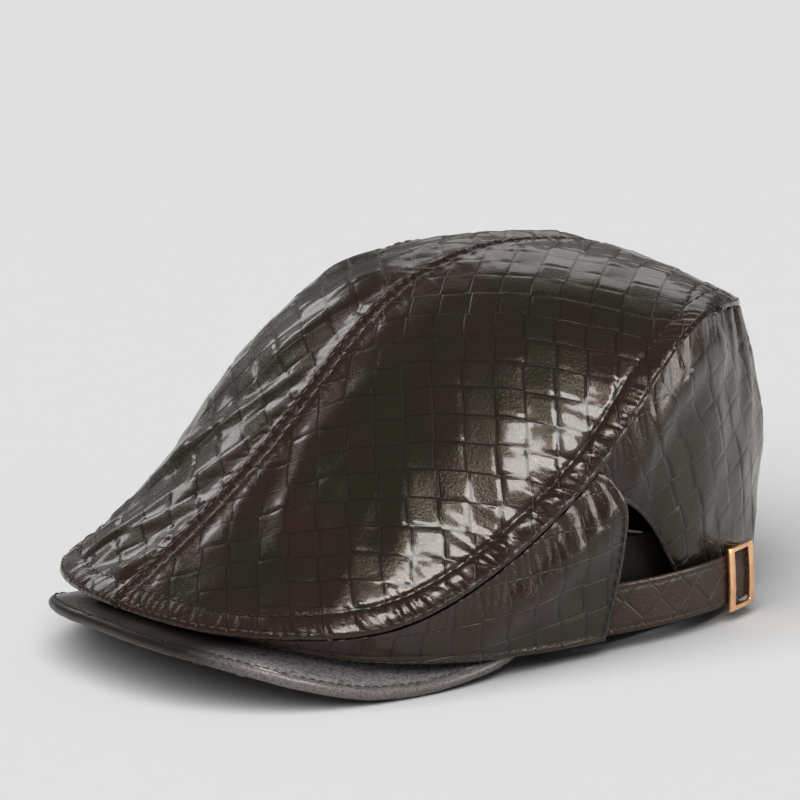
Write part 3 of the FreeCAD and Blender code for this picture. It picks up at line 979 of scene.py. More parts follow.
@dataclass(frozen=True)
class EmbossedLeather:
    """Glossy dark leather pressed with staggered squares.

    The map "squares" has one unit per square; the map "seam" has the place along the nearest seam and
    the distance from it, in centimetres.
    """

    name: str = "embossed_leather"
    olive: Colour = (0.0150, 0.0133, 0.0076)
    brown: Colour = (0.0245, 0.0118, 0.0100)
    dark: Colour = (0.008, 0.005, 0.004)
    groove_depth: float = 0.28 * MM
    gathers: float = 0.11 * MM
    shine: float = 0.17
    coat: float = 0.5

    def material(self) -> bpy.types.Material:
        """Build the material.

        Returns:
            The finished material.
        """
        paint = Paint(self.name)
        squares = paint.map("squares")
        x, y = paint.parts(squares)
        x = x + 0.06 * (2.7 * y.floor() + 0.6).sine()
        column = x.floor()
        y = y + 0.035 * (3.9 * column + 1.1).sine()
        row = y.floor()
        beside = 0.5 - ((x - column) - 0.5).size()
        above = 0.5 - ((y - row) - 0.5).size()
        groove = (1 - beside.rise(0.0, 0.05)).most(0.8 * (1 - above.rise(0.0, 0.042)))
        tone = 0.5 + 0.5 * (2.1 * column + 5.7 * row + 1.3).sine()
        grain = paint.noise(squares, 9.0, 6.0, 0.62, 0.6)
        fine = paint.noise(squares, 34.0, 4.0, 0.6)
        cloud = paint.noise(squares, 0.22, 2.0)
        place, distance = paint.parts(paint.map("seam"))
        drift = paint.noise(paint.map("seam"), 1.6, 2.0)
        gather = (17.0 * place + 5.0 * distance + 7.0 * drift).sine() * (1 - distance.rise(0.15, 1.5))
        crackle = paint.pebbles(squares, 13.0)
        height = (grain * (0.13 * MM) + crackle * (0.07 * MM) + fine * (0.045 * MM)
                  - groove * self.groove_depth + gather * self.gathers)
        red = cloud + 0.10 * (tone - 0.5) + 0.30 * (1 - distance.rise(0.4, 3.0))
        colour = paint.mix(red.rise(0.46, 0.80), self.olive, self.brown)
        colour = paint.mix(groove * 0.75, colour, self.dark)
        rough = self.shine + 0.16 * grain + 0.10 * fine + 0.12 * groove - 0.06 * tone
        return paint.finish({
            "Base Color": colour, "Roughness": rough, "Normal": paint.bump(height),
            "Specular Tint": WARM, "IOR": POLISH, "Coat IOR": POLISH, "Coat Weight": self.coat,
            "Coat Roughness": 0.10, "Coat Tint": AMBER,
        })


@dataclass(frozen=True)
class GrainLeather:
    """Plain grained leather, on object coordinates, with an optional painted sheen towards its left and right
    ends.
    """

    name: str
    base: Colour
    worn: Colour
    pebble: float = 1100.0
    depth: float = 0.05 * MM
    shine: float = 0.34
    coat: float = 0.25
    gleam: float = 0.5
    sides: Optional[Colour] = None      # painted sheen: pale colour where it curves down at the wearer's left and right
    sides_reach: tuple[float, float] = (40 * MM, 66 * MM)       # from the middle, where it starts and is full

    def material(self) -> bpy.types.Material:
        """Build the material.

        Returns:
            The finished material.
        """
        paint = Paint(self.name)
        place = paint.place()
        pebbles = paint.pebbles(place, self.pebble)
        crease = paint.noise(place, self.pebble * 0.35, 5.0, 0.6, 0.8)
        cloud = paint.noise(place, 38.0, 3.0)
        height = pebbles * -self.depth + crease * (self.depth * 1.6)
        colour = paint.mix(cloud.rise(0.35, 0.7), self.base, self.worn)
        # painted sheen: pale colour on the pebbles towards the left and right ends, for light reflected there
        if self.sides is not None:
            across, _ = paint.parts(place)
            painted_sheen = across.size().rise(*self.sides_reach) * (0.55 + 0.9 * (0.5 - pebbles))
            colour = paint.mix(painted_sheen, colour, self.sides)
        return paint.finish({
            "Base Color": colour, "Roughness": self.shine + 0.18 * crease + 0.08 * pebbles,
            "Normal": paint.bump(height), "Specular Tint": WARM, "Specular IOR Level": self.gleam,
            "Coat Weight": self.coat,
            "Coat Roughness": 0.2,
        })


@dataclass(frozen=True)
class Cloth:
    """Woven cloth, felt or thread: crossed threads on object coordinates with a soft sheen."""

    name: str
    base: Colour
    light: Colour
    pitch: float = 0.45 * MM
    depth: float = 0.04 * MM
    rough: float = 0.6
    sheen: float = 0.3

    def material(self) -> bpy.types.Material:
        """Build the material.

        Returns:
            The finished material.
        """
        paint = Paint(self.name)
        x, y = paint.parts(paint.map("cloth"))
        wave = 2 * math.pi / self.pitch
        weave = (x * wave).sine() * (y * wave).sine()
        fuzz = paint.noise(paint.place(), 900.0, 4.0, 0.6)
        height = weave * self.depth + fuzz * self.depth
        colour = paint.mix((0.5 + 0.3 * weave + 0.6 * (fuzz - 0.5)).rise(0.1, 0.9), self.base, self.light)
        return paint.finish({
            "Base Color": colour, "Roughness": self.rough + 0.12 * fuzz, "Normal": paint.bump(height),
            "Sheen Weight": self.sheen, "Sheen Roughness": 0.4,
        })


@dataclass(frozen=True)
class Yarn:
    """Waxed sewing thread, on object coordinates."""

    name: str = "sewing_thread"
    base: Colour = (0.042, 0.024, 0.019)
    light: Colour = (0.13, 0.085, 0.070)
    rough: float = 0.38

    def material(self) -> bpy.types.Material:
        """Build the material.

        Returns:
            The finished material.
        """
        paint = Paint(self.name)
        ply = paint.noise(paint.place(), 3200.0, 3.0, 0.6)
        return paint.finish({
            "Base Color": paint.mix(ply.rise(0.35, 0.7), self.base, self.light),
            "Roughness": self.rough + 0.2 * ply, "Normal": paint.bump(ply * (0.05 * MM)),
        })


@dataclass(frozen=True)
class Metal:
    """Polished plated metal with faint brushing and wear."""

    name: str = "rose_gold"
    base: Colour = (0.95, 0.56, 0.30)
    worn: Colour = (0.70, 0.38, 0.22)
    rough: float = 0.16

    def material(self) -> bpy.types.Material:
        """Build the material.

        Returns:
            The finished material.
        """
        paint = Paint(self.name)
        place = paint.place()
        brush = paint.noise(place, 700.0, 4.0, 0.6, 1.0)
        cloud = paint.noise(place, 120.0, 3.0)
        return paint.finish({
            "Base Color": paint.mix(cloud.rise(0.35, 0.75), self.base, self.worn), "Metallic": 1.0,
            "Roughness": self.rough + 0.14 * cloud + 0.08 * brush,
            "Normal": paint.bump(brush * (0.012 * MM)),
        })


@dataclass(frozen=True)
class Board:
    """Pressed plastic board with a fine moulded texture."""

    name: str = "bill_board_plastic"
    base: Colour = (0.05, 0.05, 0.048)
    worn: Colour = (0.09, 0.09, 0.085)

    def material(self) -> bpy.types.Material:
        """Build the material.

        Returns:
            The finished material.
        """
        paint = Paint(self.name)
        speck = paint.noise(paint.place(), 1500.0, 3.0, 0.6)
        return paint.finish({
            "Base Color": paint.mix(speck, self.base, self.worn), "Roughness": 0.5 + 0.2 * speck,
            "Normal": paint.bump(speck * (0.05 * MM)),
        })


class Finishes:
    """Every material of the cap, made once."""

    def __init__(self) -> None:
        """Make them."""
        self.leather = EmbossedLeather().material()
        # painted sheen: the pale colour given for the bill top's downturned sides
        self.bill_top = GrainLeather("bill_top_leather", (0.030, 0.023, 0.021), (0.045, 0.036, 0.034),
                                     pebble=820.0, depth=0.11 * MM, shine=0.28, coat=0.4,
                                     sides=(0.60, 0.55, 0.56)).material()
        self.strap = EmbossedLeather(name="strap_leather", olive=(0.034, 0.016, 0.013),
                                     brown=(0.048, 0.021, 0.017), coat=0.25, groove_depth=0.14 * MM,
                                     gathers=0.0, shine=0.2).material()
        self.bill_under = GrainLeather("bill_under_leather", (0.022, 0.016, 0.013),
                                       (0.034, 0.026, 0.021)).material()
        # painted sheen: the pale colour given for the binding at the bill's downturned sides
        self.binding = GrainLeather("binding_leather", (0.008, 0.006, 0.005), (0.016, 0.011, 0.009),
                                    pebble=1400.0, shine=0.34, coat=0.15,
                                    sides=(0.26, 0.235, 0.235)).material()
        self.band = GrainLeather("sweatband_leather", (0.014, 0.010, 0.008), (0.026, 0.019, 0.015),
                                 pebble=900.0, shine=0.55, coat=0.0, gleam=0.12).material()
        self.satin = Cloth("satin_lining", (0.014, 0.011, 0.010), (0.030, 0.026, 0.023), 0.3 * MM,
                           0.012 * MM, 0.32, 0.5).material()
        self.felt = Cloth("interlining_felt", (0.10, 0.10, 0.095), (0.19, 0.19, 0.18), 1.2 * MM,
                          0.08 * MM, 0.9, 0.6).material()
        self.tape = Cloth("woven_tape", (0.012, 0.011, 0.011), (0.035, 0.032, 0.030), 0.7 * MM,
                          0.06 * MM).material()
        self.label = Cloth("woven_label", (0.33, 0.30, 0.25), (0.50, 0.46, 0.40), 0.5 * MM,
                           0.04 * MM).material()
        self.thread = Yarn().material()
        self.dark_thread = Yarn("dark_thread", (0.010, 0.008, 0.007), (0.028, 0.021, 0.018)).material()
        self.metal = Metal().material()
        self.board = Board().material()


# --- The crown ---


@dataclass
class Crown:
    """Two leather halves sewn along the middle, with padding, lining and seam tape."""

    finishes: Finishes
    rows: int = 262
    columns: int = 130
    border: float = 9.0 * MM
    border_rise: float = 0.9 * MM
    puff: float = 7.0 * MM
    squares_turn: tuple[float, float] = (46.0, 54.0)
    far_squares_turn: tuple[float, float] = (-33.0, -33.0)
    folds: tuple[int, int] = (13, 24)           # on the left and on the right half
    fold_seeds: tuple[int, int] = (5, 11)
    left_fold_share: float = 0.75               # how high the left half's folds are
    halves_overlap: float = 0.1 * MM

    def build(self) -> dict[str, bpy.types.Object]:
        """Make every piece of the crown.

        Returns:
            The leather halves by side name.
        """
        halves = {}
        for side in Side:
            halves[side.word] = self._leather(side)
            self._inside(side)
        self._tape()
        self._stitches(halves)
        return halves

    def border_line(self, side: Side) -> np.ndarray:
        """The edge of a half: round the front, along the side and along the back seam.

        Args:
            side: which half.

        Returns:
            Points in order, from the middle of the front.
        """
        shares = np.linspace(0, 1, 900)
        line = np.concatenate([FORM.crown_edge.at(shares), FORM.back_seam.at(shares[1:])])
        return line * np.array([side.value, 1, 1])

    def _folds(self, flat: np.ndarray, side: Side) -> np.ndarray:
        """Long soft folds, mostly on the wearer's right and towards the front.

        Args:
            flat: place on the cut, in metres.
            side: which half.

        Returns:
            Height at each point, in metres.
        """
        right = side is Side.RIGHT
        rng = np.random.default_rng(self.fold_seeds[right])
        height = np.zeros(flat.shape[:2])
        across, along = flat[..., 0], flat[..., 1] - flat[..., 1].min()
        for _ in range(self.folds[right]):
            start_along = rng.uniform(0.0, 0.22 if right else 0.10)
            start_across = rng.uniform(0.004, 0.085)
            way = math.radians(rng.uniform(4, 48))
            width = rng.uniform(3.2, 8.5) * MM
            reach = rng.uniform(22, 60) * MM
            rise = rng.uniform(0.4, 1.35) * MM * (1 if right else self.left_fold_share)
            x, y = across - start_across, along - start_along
            ahead = y * math.cos(way) - x * math.sin(way)
            aside = x * math.cos(way) + y * math.sin(way)
            aside = aside + 0.004 * np.sin(ahead / 0.021 + way * 40)
            valley = np.exp(-((aside + 1.9 * width) / (1.3 * width)) ** 2)
            ridge = np.exp(-(aside / width) ** 2) - 0.45 * valley
            height += rise * ridge * np.exp(-(ahead / reach) ** 4)
        return height

    def _puff(self, rows: np.ndarray, columns: np.ndarray, side: Side) -> np.ndarray:
        """How far a half swells above its seams; the wearer's right half is the fuller one.

        Args:
            rows: shares of the way round, one for each row.
            columns: shares of the way from edge to edge, one for each column.
            side: which half.

        Returns:
            Height at each point, in metres.
        """
        if side is Side.LEFT:
            return np.zeros((len(rows), len(columns)))
        along = smooth_step(rows, 0.15, 0.44) * (1 - smooth_step(rows, 0.52, 0.77))
        return self.puff * along[:, None] * np.sin(math.pi * columns ** 1.6)[None, :]

    def _leather(self, side: Side) -> bpy.types.Object:
        """One leather half, with its seams, border, folds and squares.

        Args:
            side: which half.

        Returns:
            The leather piece.
        """
        u, v = np.linspace(0, 1, self.rows), np.linspace(0, 1, self.columns)
        surface = Surface(FORM.crown(u, v))
        if side is Side.RIGHT:
            surface = surface.mirrored()
        flat = surface.flat()
        turns = self.squares_turn if side is Side.LEFT else self.far_squares_turn
        squares = embossed(flat, turns, (0.3, 0.1))
        mid = surface.run(1)
        ridge_place = surface.run(0)[:, :1] + 0 * mid
        place, distance = Seam(self.border_line(side)).near(surface.points)
        front = FORM.crown_edge.length * FORM.corner_share
        rear = FORM.crown_edge.length
        lively = (0.35 + 0.65 * smooth_step(place, front * 0.8, front * 1.3)) * (
            1 - 0.8 * smooth_step(place, 0.74 * rear, 0.93 * rear))
        pad = np.sin(math.pi * np.clip((distance - 0.4 * MM) / (self.border - 0.4 * MM), 0, 1)) ** 0.7
        valley = np.exp(-((distance - self.border - 0.3 * MM) / (0.9 * MM)) ** 2)
        height = self.border_rise * pad * (0.45 + 0.55 * lively) - 0.55 * MM * valley * lively
        height -= 0.9 * MM * np.clip(1 - distance / (1.3 * MM), 0, 1) ** 2
        seed = 3 if side is Side.LEFT else 8
        near_edge = np.exp(-((distance - 5 * MM) / (5.5 * MM)) ** 2) + 0.7 * np.exp(-distance / (14 * MM))
        height += lively * near_edge * (0.52 * MM * puckers(place, distance, 11.5 * MM, seed)
                                        + 0.17 * MM * puckers(place, distance, 4.6 * MM, seed + 20))
        seam_gap = 1.2 * MM * np.exp(-(mid / (1.1 * MM)) ** 2)
        bead = 0.4 * MM * np.exp(-((mid - 3.4 * MM) / (1.5 * MM)) ** 2)
        gather = (0.50 * MM * puckers(ridge_place, mid, 8.5 * MM, seed + 40)
                  + 0.16 * MM * puckers(ridge_place, mid, 3.8 * MM, seed + 60))
        height += bead - seam_gap + gather * smooth_step(mid, 0.8 * MM, 3 * MM) * np.exp(-mid / (9 * MM))
        calm = smooth_step(distance, 2 * MM, 16 * MM) * smooth_step(mid, 3 * MM, 12 * MM)
        height += self._folds(flat, side) * calm
        height += 0.30 * MM * waves(flat[..., 0], flat[..., 1], 34 * MM, seed + 80) * calm
        height += cushioned(squares) * (0.35 + 0.65 * calm)
        surface = surface.raised(self._puff(u, v, side)).raised(height)
        surface.points[:, 0, 0] = -self.halves_overlap * side.value      # the halves meet in the middle
        seam = np.where((mid < distance)[..., None], np.stack([ridge_place, mid], axis=-1),
                        np.stack([place, distance], axis=-1)) * 100
        piece = sheet_piece(f"crown_{side.word}_leather", surface, 1.2 * MM,
                            {"squares": squares, "seam": seam}, self.finishes.leather, 0.3 * MM)
        settle(piece, [f"crown_{side.word}_panel"])
        cut_size(flat, surface)
        return piece

    def _inside(self, side: Side) -> None:
        """Padding and satin lining of one half.

        Args:
            side: which half.
        """
        u, v = np.linspace(0.05, 0.94, 90), np.linspace(0.0, 0.91, 50)
        base = FORM.crown(u, v)
        base[..., 0] = np.maximum(base[..., 0], 0.4 * MM)
        surface = Surface(base)
        if side is Side.RIGHT:
            surface = surface.mirrored()
        flat = surface.flat(step=3, rounds=500)
        soft = waves(flat[..., 0], flat[..., 1], 26 * MM, 31 + side.value)
        layers = (("felt", 1.5 * MM, 1.1 * MM, 0.05 * MM, self.finishes.felt, "interlining", "interlining"),
                  ("satin", 3.6 * MM, 0.35 * MM, 0.4 * MM, self.finishes.satin, "satin_lining", "lining"))
        for word, depth, thick, swell, finish, slot, node in layers:
            layer = surface.raised(-depth + swell * (soft - 1) + 0.8 * self._puff(u, v, side))
            piece = sheet_piece(f"crown_{side.word}_{word}", layer, thick, {"cloth": flat}, finish)
            settle(piece, [f"crown_{side.word}_{node}"])
            cut_size(flat, layer)

    def _tape(self) -> None:
        """Woven tape under the middle seam."""
        u = np.linspace(0.02, 0.98, 240)
        line = FORM.centre_line.at(u)
        width = np.linspace(-1, 1, 14) * 5 * MM
        points = line[:, None, :] + np.stack([width, 0 * width, 0 * width], axis=-1)[None, :, :]
        surface = Surface(points)
        ripple = 0.12 * MM * np.sin(u * 150)[:, None] + 0 * width[None, :]
        surface = surface.raised(ripple - 2.8 * MM)
        flat = np.stack([surface.run(1), surface.run(0)], axis=-1)
        piece = sheet_piece("centre_seam_tape_cloth", surface, 0.5 * MM, {"cloth": flat}, self.finishes.tape)
        settle(piece, ["centre_seam_tape"])
        cut_size(flat, surface)

    def _stitches(self, halves: dict[str, bpy.types.Object]) -> None:
        """Rows of thread: two beside the middle seam, and two along each half's edge.

        Args:
            halves: the leather halves by side name.
        """
        thread = Thread()
        middle = FORM.centre_line.at(np.linspace(0.012, 0.985, 400))
        rows = [middle + np.array([x, 0, 0]) for x in (-2.3 * MM, 2.3 * MM)]
        piece = thread.lay("centre_seam_stitches", rows, list(halves.values()), self.finishes.thread)
        settle(piece)
        for side in Side:
            half = halves[side.word]
            border = self.border_line(side)
            inner, outer = self._offset_lines(border, side)
            distance = Seam(border)

            def clear(point: np.ndarray) -> bool:
                """True where a stitch of the inner row is no nearer to any edge than it should be."""
                return distance.near(point[None, :])[1][0] > self.border * 0.93

            piece = thread.lay(f"crown_{side.word}_inner_stitches", [inner], [half],
                               self.finishes.dark_thread, keep=clear)
            settle(piece)
            piece = thread.lay(f"crown_{side.word}_edge_stitches", [outer], [half], self.finishes.thread,
                               lift=0.12 * MM)
            settle(piece)

    def _offset_lines(self, border: np.ndarray, side: Side) -> tuple[np.ndarray, np.ndarray]:
        """Lines on a half at the border's width and close to the edge.

        Args:
            border: the half's edge.
            side: which half.

        Returns:
            The inner line and the outer one.
        """
        ahead = unit(np.gradient(border, axis=0))
        u, v = np.linspace(0, 1, 41), np.linspace(0, 1, 21)
        surface = Surface(FORM.crown(u, v))
        if side is Side.RIGHT:
            surface = surface.mirrored()
        corners = surface.points.reshape(-1, 3)
        normals = surface.normals().reshape(-1, 3)
        nearest = ((border[:, None, :] - corners[None, :, :]) ** 2).sum(-1).argmin(1)
        inwards = unit(np.cross(normals[nearest], ahead)) * side.value
        return border + inwards * (self.border + 0.3 * MM), border + inwards * 1.5 * MM


# --- Side panels and back ---


@dataclass
class SidePanel:
    """The lower side panel of one side, whose free rear edge lies by the strap."""

    finishes: Finishes
    side: Side
    rows: int = 230
    columns: int = 58
    squares_turn: tuple[float, float] = (18.0, 18.0)

    def bend(self) -> Bend:
        """From the crown's seam to the lower rear corner, by this side's strap."""
        across = 90 * MM * self.side.value
        return Bend(f"strap_{self.side.word}", (across, 8 * MM, 70 * MM), (across, 40.8 * MM, 26.3 * MM))

    def surface(self) -> Surface:
        """The plain panel.

        Returns:
            The surface before any detail is added.
        """
        surface = Surface(FORM.side(np.linspace(0, 1, self.rows), np.linspace(0, 1, self.columns)),
                          np.array([1.0, -0.6, 0.0]))
        return surface if self.side is Side.LEFT else surface.mirrored()

    def build(self) -> None:
        """Make the panel, its lining and its stitches."""
        surface = self.surface()
        flat = surface.flat(step=5, rounds=500)
        squares = embossed(flat, self.squares_turn, (0.4, 0.6))
        down, along = surface.run(1), surface.run(0)
        up = down[:, -1:] - down
        behind = along[-1:, :] - along
        place = along[:, :1] + 0 * down
        rear = smooth_step(place, 0.10, 0.19)
        seed = 51 + self.side.value
        height = rear * np.exp(-down / (9 * MM)) * (0.55 * MM * puckers(place, down, 9.5 * MM, seed)
                                                    + 0.25 * MM * puckers(place, down, 4.3 * MM, seed + 9))
        edge = np.minimum(up, behind)
        height += 0.45 * MM * np.exp(-((edge - 1.2 * MM) / (1.0 * MM)) ** 2)
        height -= 0.25 * MM * np.exp(-((edge - 3.0 * MM) / (0.7 * MM)) ** 2)
        crest = 15 * MM + 8 * MM * (1 - np.linspace(0, 1, self.rows))[:, None]
        height += 3.4 * MM * smooth_step(place, 0.55 * place.max(), 0.8 * place.max()) * np.exp(
            -((down - crest) / np.where(down < crest, 8.5 * MM, 13 * MM)) ** 2)
        calm = smooth_step(down, 2 * MM, 14 * MM) * smooth_step(edge, 3 * MM, 9 * MM)
        height += 0.5 * MM * waves(flat[..., 0], flat[..., 1], 30 * MM, seed + 30) * calm
        height += cushioned(squares) * (0.2 + 0.8 * calm)
        bulk = surface.raised(height)
        seam = np.stack([place, down], axis=-1) * 100
        word = self.side.word
        piece = sheet_piece(f"side_{word}_leather", bulk, 1.3 * MM, {"squares": squares, "seam": seam},
                            self.finishes.leather, 0.35 * MM)
        settle(piece, [f"side_{word}_panel"], bend=self.bend())
        cut_size(flat, bulk)
        self._lining(surface)
        self._stitches(bulk, piece)

    def _lining(self, surface: Surface) -> None:
        """Satin lining behind the panel's rear half.

        Args:
            surface: the panel's smooth outer surface.
        """
        rows, columns = self.rows, self.columns
        part = surface.points[int(rows * 0.45):int(rows * 0.86):2, int(columns * 0.1):int(columns * 0.95):2]
        layer = Surface(part, surface.outwards)
        flat = np.stack([layer.run(1), layer.run(0)], axis=-1)
        layer = layer.raised(-1.7 * MM + 0.08 * MM * waves(flat[..., 0], flat[..., 1], 18 * MM, 77))
        word = self.side.word
        piece = sheet_piece(f"side_{word}_satin", layer, 0.35 * MM, {"cloth": flat}, self.finishes.satin)
        settle(piece, [f"side_{word}_lining"], bend=self.bend())
        cut_size(flat, layer)

    def _stitches(self, surface: Surface, on: bpy.types.Object) -> None:
        """One row beside the hem and up the free edge.

        Args:
            surface: the panel's finished outer surface.
            on: the leather piece.
        """
        inset_rows = 3
        hem = surface.points[60:-inset_rows, -4]
        free = surface.points[-inset_rows, -4:3:-1]
        piece = Thread().lay(f"side_{self.side.word}_stitches", [np.concatenate([hem, free])], [on],
                             self.finishes.dark_thread)
        settle(piece, bend=self.bend())


@dataclass
class BackPanel:
    """The gathered back panel, from one front corner round the head to the other."""

    finishes: Finishes
    rows: int = 400
    columns: int = 96
    squares_turn: tuple[float, float] = (-16.0, -16.0)

    def build(self) -> None:
        """Make the panel, its lining and its stitches."""
        surface = Surface(FORM.back(np.linspace(0, 1, self.rows), np.linspace(0, 1, self.columns)),
                          np.array([0.0, 1.0, 0.0]))
        flat = surface.flat(step=6, rounds=900)
        squares = embossed(flat, self.squares_turn, (0.2, 0.5))
        down, along = surface.run(1), surface.run(0)
        place = along[:, :1] + 0 * down
        up = down[:, -1:] - down
        total = float(place.max())
        centre = 1 - np.abs(2 * place / total - 1)
        behind = smooth_step(centre, 0.38, 0.62)
        gathers = puckers(place, down * 0.4, 15 * MM, 61)
        height = behind * 1.25 * MM * gathers * np.exp(-(down / (26 * MM)) ** 1.5)
        height += behind * 0.6 * MM * puckers(place, down * 0.5, 7.3 * MM, 64) * np.exp(-down / (9 * MM))
        height += (1 - behind) * 0.6 * MM * puckers(place, down, 11 * MM, 67) * np.exp(-down / (10 * MM))
        height += (1 - behind) * 2.4 * MM * np.exp(-((down - 15 * MM) / (9 * MM)) ** 2) * smooth_step(
            np.minimum(place, total - place), 10 * MM, 30 * MM)
        height += 0.45 * MM * np.exp(-((up - 1.2 * MM) / (1.0 * MM)) ** 2)
        height -= 0.25 * MM * np.exp(-((up - 3.0 * MM) / (0.7 * MM)) ** 2)
        calm = smooth_step(down, 2 * MM, 18 * MM) * smooth_step(up, 3 * MM, 9 * MM)
        height += 0.6 * MM * waves(flat[..., 0], flat[..., 1], 38 * MM, 70) * calm
        height += cushioned(squares) * (0.25 + 0.75 * calm)
        bulk = surface.raised(height)
        seam = np.stack([place, down], axis=-1) * 100
        piece = sheet_piece("back_leather", bulk, 1.2 * MM, {"squares": squares, "seam": seam},
                            self.finishes.leather, 0.3 * MM)
        settle(piece, ["back_panel"])
        cut_size(flat, bulk)
        row = bulk.points[6:-6, -4]
        stitches = Thread().lay("back_edge_stitches", [row], [piece], self.finishes.dark_thread)
        settle(stitches)
        part = Surface(surface.points[int(self.rows * 0.08):int(self.rows * 0.92):2,
                                      int(self.columns * 0.06):int(self.columns * 0.9):2], surface.outwards)
        cloth = np.stack([part.run(1), part.run(0)], axis=-1)
        lining = part.raised(-2.2 * MM + 0.15 * MM * waves(cloth[..., 0], cloth[..., 1], 24 * MM, 73))
        piece = sheet_piece("back_satin", lining, 0.35 * MM, {"cloth": cloth}, self.finishes.satin)
        settle(piece, ["back_lining"])
        cut_size(cloth, lining)


# --- The bill and the sweatband ---


@dataclass
class Bill:
    """A board between two leathers, closed by a stitched binding."""

    finishes: Finishes
    thick: float = 3.8 * MM
    rim: float = 0.4 * MM
    binding_reach: float = 3.4 * MM

    def build(self) -> None:
        """Make the leathers, the binding and its stitches, and dress the board."""
        u, v = np.linspace(0, 1, 300), np.linspace(0, 1, 90)
        under = Surface(FORM.bill(u, v, 1.4 * MM), np.array([0.0, 0.0, -1.0]))
        flat = np.stack([under.run(1), under.run(0)], axis=-1)
        upper = Surface(under.points + UP * (self.rim + self.thick), UP)
        soft = 0.14 * MM * waves(upper.points[..., 0], upper.points[..., 1], 20 * MM, 91)
        level = upper.points[..., :2]
        squares = level / CELL + 0.37
        upper = upper.raised(soft)
        seam = np.zeros_like(squares) + 5.0
        piece = sheet_piece("bill_upper_leather", upper, 0.8 * MM, {"squares": squares, "seam": seam},
                            self.finishes.bill_top)
        settle(piece, ["bill_top_leather"])
        cut_size(level, upper)
        lower = Surface(under.points + UP * self.rim, under.outwards).raised(
            0.1 * MM * waves(level[..., 0], level[..., 1], 18 * MM, 93))
        piece = sheet_piece("bill_lower_leather", lower, 0.8 * MM, {"cloth": flat}, self.finishes.bill_under)
        settle(piece, ["bill_under_leather"])
        cut_size(level, lower)
        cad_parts["bill_board"].data.materials.clear()
        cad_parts["bill_board"].data.materials.append(self.finishes.board)
        self._binding()

    def _binding(self) -> None:
        """A rounded leather binding round the edge, with a row of stitches on top."""
        u = np.linspace(0, 1, 460)
        height = self.thick + 2 * self.rim
        radius = height / 2
        turns = np.linspace(-math.pi / 2, math.pi / 2, 11)
        reach = self.binding_reach
        wings = [reach, reach * 0.7, reach * 0.35 + radius * 0.5]
        inset = np.concatenate([wings, radius * (1 - np.cos(turns)), wings[::-1]])
        rise = np.concatenate([[0.35 * MM, 0.05 * MM, 0.0], radius * (1 + np.sin(turns)),
                               [height, height - 0.05 * MM, height - 0.35 * MM]])
        rings = [FORM.bill(u, np.array([0.0]), float(i)) + UP * float(r) for i, r in zip(inset, rise)]
        surface = Surface(np.concatenate(rings, axis=1), np.array([0.0, -1.0, 0.0]))
        run = surface.run(0)
        ripple = 0.08 * MM * waves(run, surface.run(1), 9 * MM, 95)
        surface = surface.raised(ripple)
        piece = sheet_piece("bill_binding_leather", surface, 0.7 * MM,
                            {"cloth": np.stack([surface.run(1), run], axis=-1)}, self.finishes.binding)
        settle(piece, ["bill_edge_binding"])
        row = surface.points[4:-4, -3]
        stitches = Thread(2.2 * MM, 1.0 * MM, 0.3 * MM).lay("bill_binding_stitches", [row], [piece],
                                                            self.finishes.dark_thread)
        settle(stitches)


@dataclass
class Headband:
    """Leather sweatband with a stitched lower edge, and a blank woven size label."""

    finishes: Finishes
    height: float = 32 * MM

    def build(self) -> None:
        """Make the band, its stitches and the label."""
        u, v = np.linspace(0, 1, 300), np.linspace(0, 1, 26)
        surface = Surface(FORM.band(u, v, self.height, 0.0), np.array([0.0, -1.0, 0.0]))
        down = (1 - v)[None, :] * self.height
        run = surface.run(0)
        height = 0.25 * MM * waves(run, down, 40 * MM, 97) * smooth_step(down, 0, 8 * MM) - 0.3 * MM
        band = surface.raised(height)
        flat = np.stack([band.run(1), run], axis=-1)
        piece = sheet_piece("sweatband_strip", band, 1.0 * MM, {"cloth": flat}, self.finishes.band, 0.3 * MM)
        settle(piece, ["sweatband"])
        cut_size(flat, band)
        inner = Surface(band.points - band.normals() * 1.0 * MM, -band.outwards)
        liner = link("stitch_guide", grid_mesh("stitch_guide", inner, {}))
        rows = [inner.points[3:-3, 2], inner.points[3:-3, -3]]
        stitches = Thread().lay("sweatband_stitches", rows, [liner], self.finishes.thread)
        bpy.data.objects.remove(liner)
        settle(stitches)
        self._label()

    def _label(self) -> None:
        """A blank label whose ends are turned under."""
        low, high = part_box("size_label")
        x = np.linspace(low.x, high.x, 40)
        z = np.linspace(low.z, high.z, 22)
        depth = 0.25 * MM * (np.abs(x) / high.x) ** 6
        points = np.stack(np.broadcast_arrays(x[:, None], (low.y + depth)[:, None], z[None, :]), axis=-1)
        surface = Surface(points.copy(), np.array([0.0, -1.0, 0.0]))
        flat = np.stack([surface.run(1), surface.run(0)], axis=-1)
        piece = sheet_piece("blank_size_label", surface, 0.4 * MM, {"cloth": flat}, self.finishes.label)
        settle(piece, ["size_label"])
        cut_size(flat, surface)


# --- Strap, buckle and keeper ---


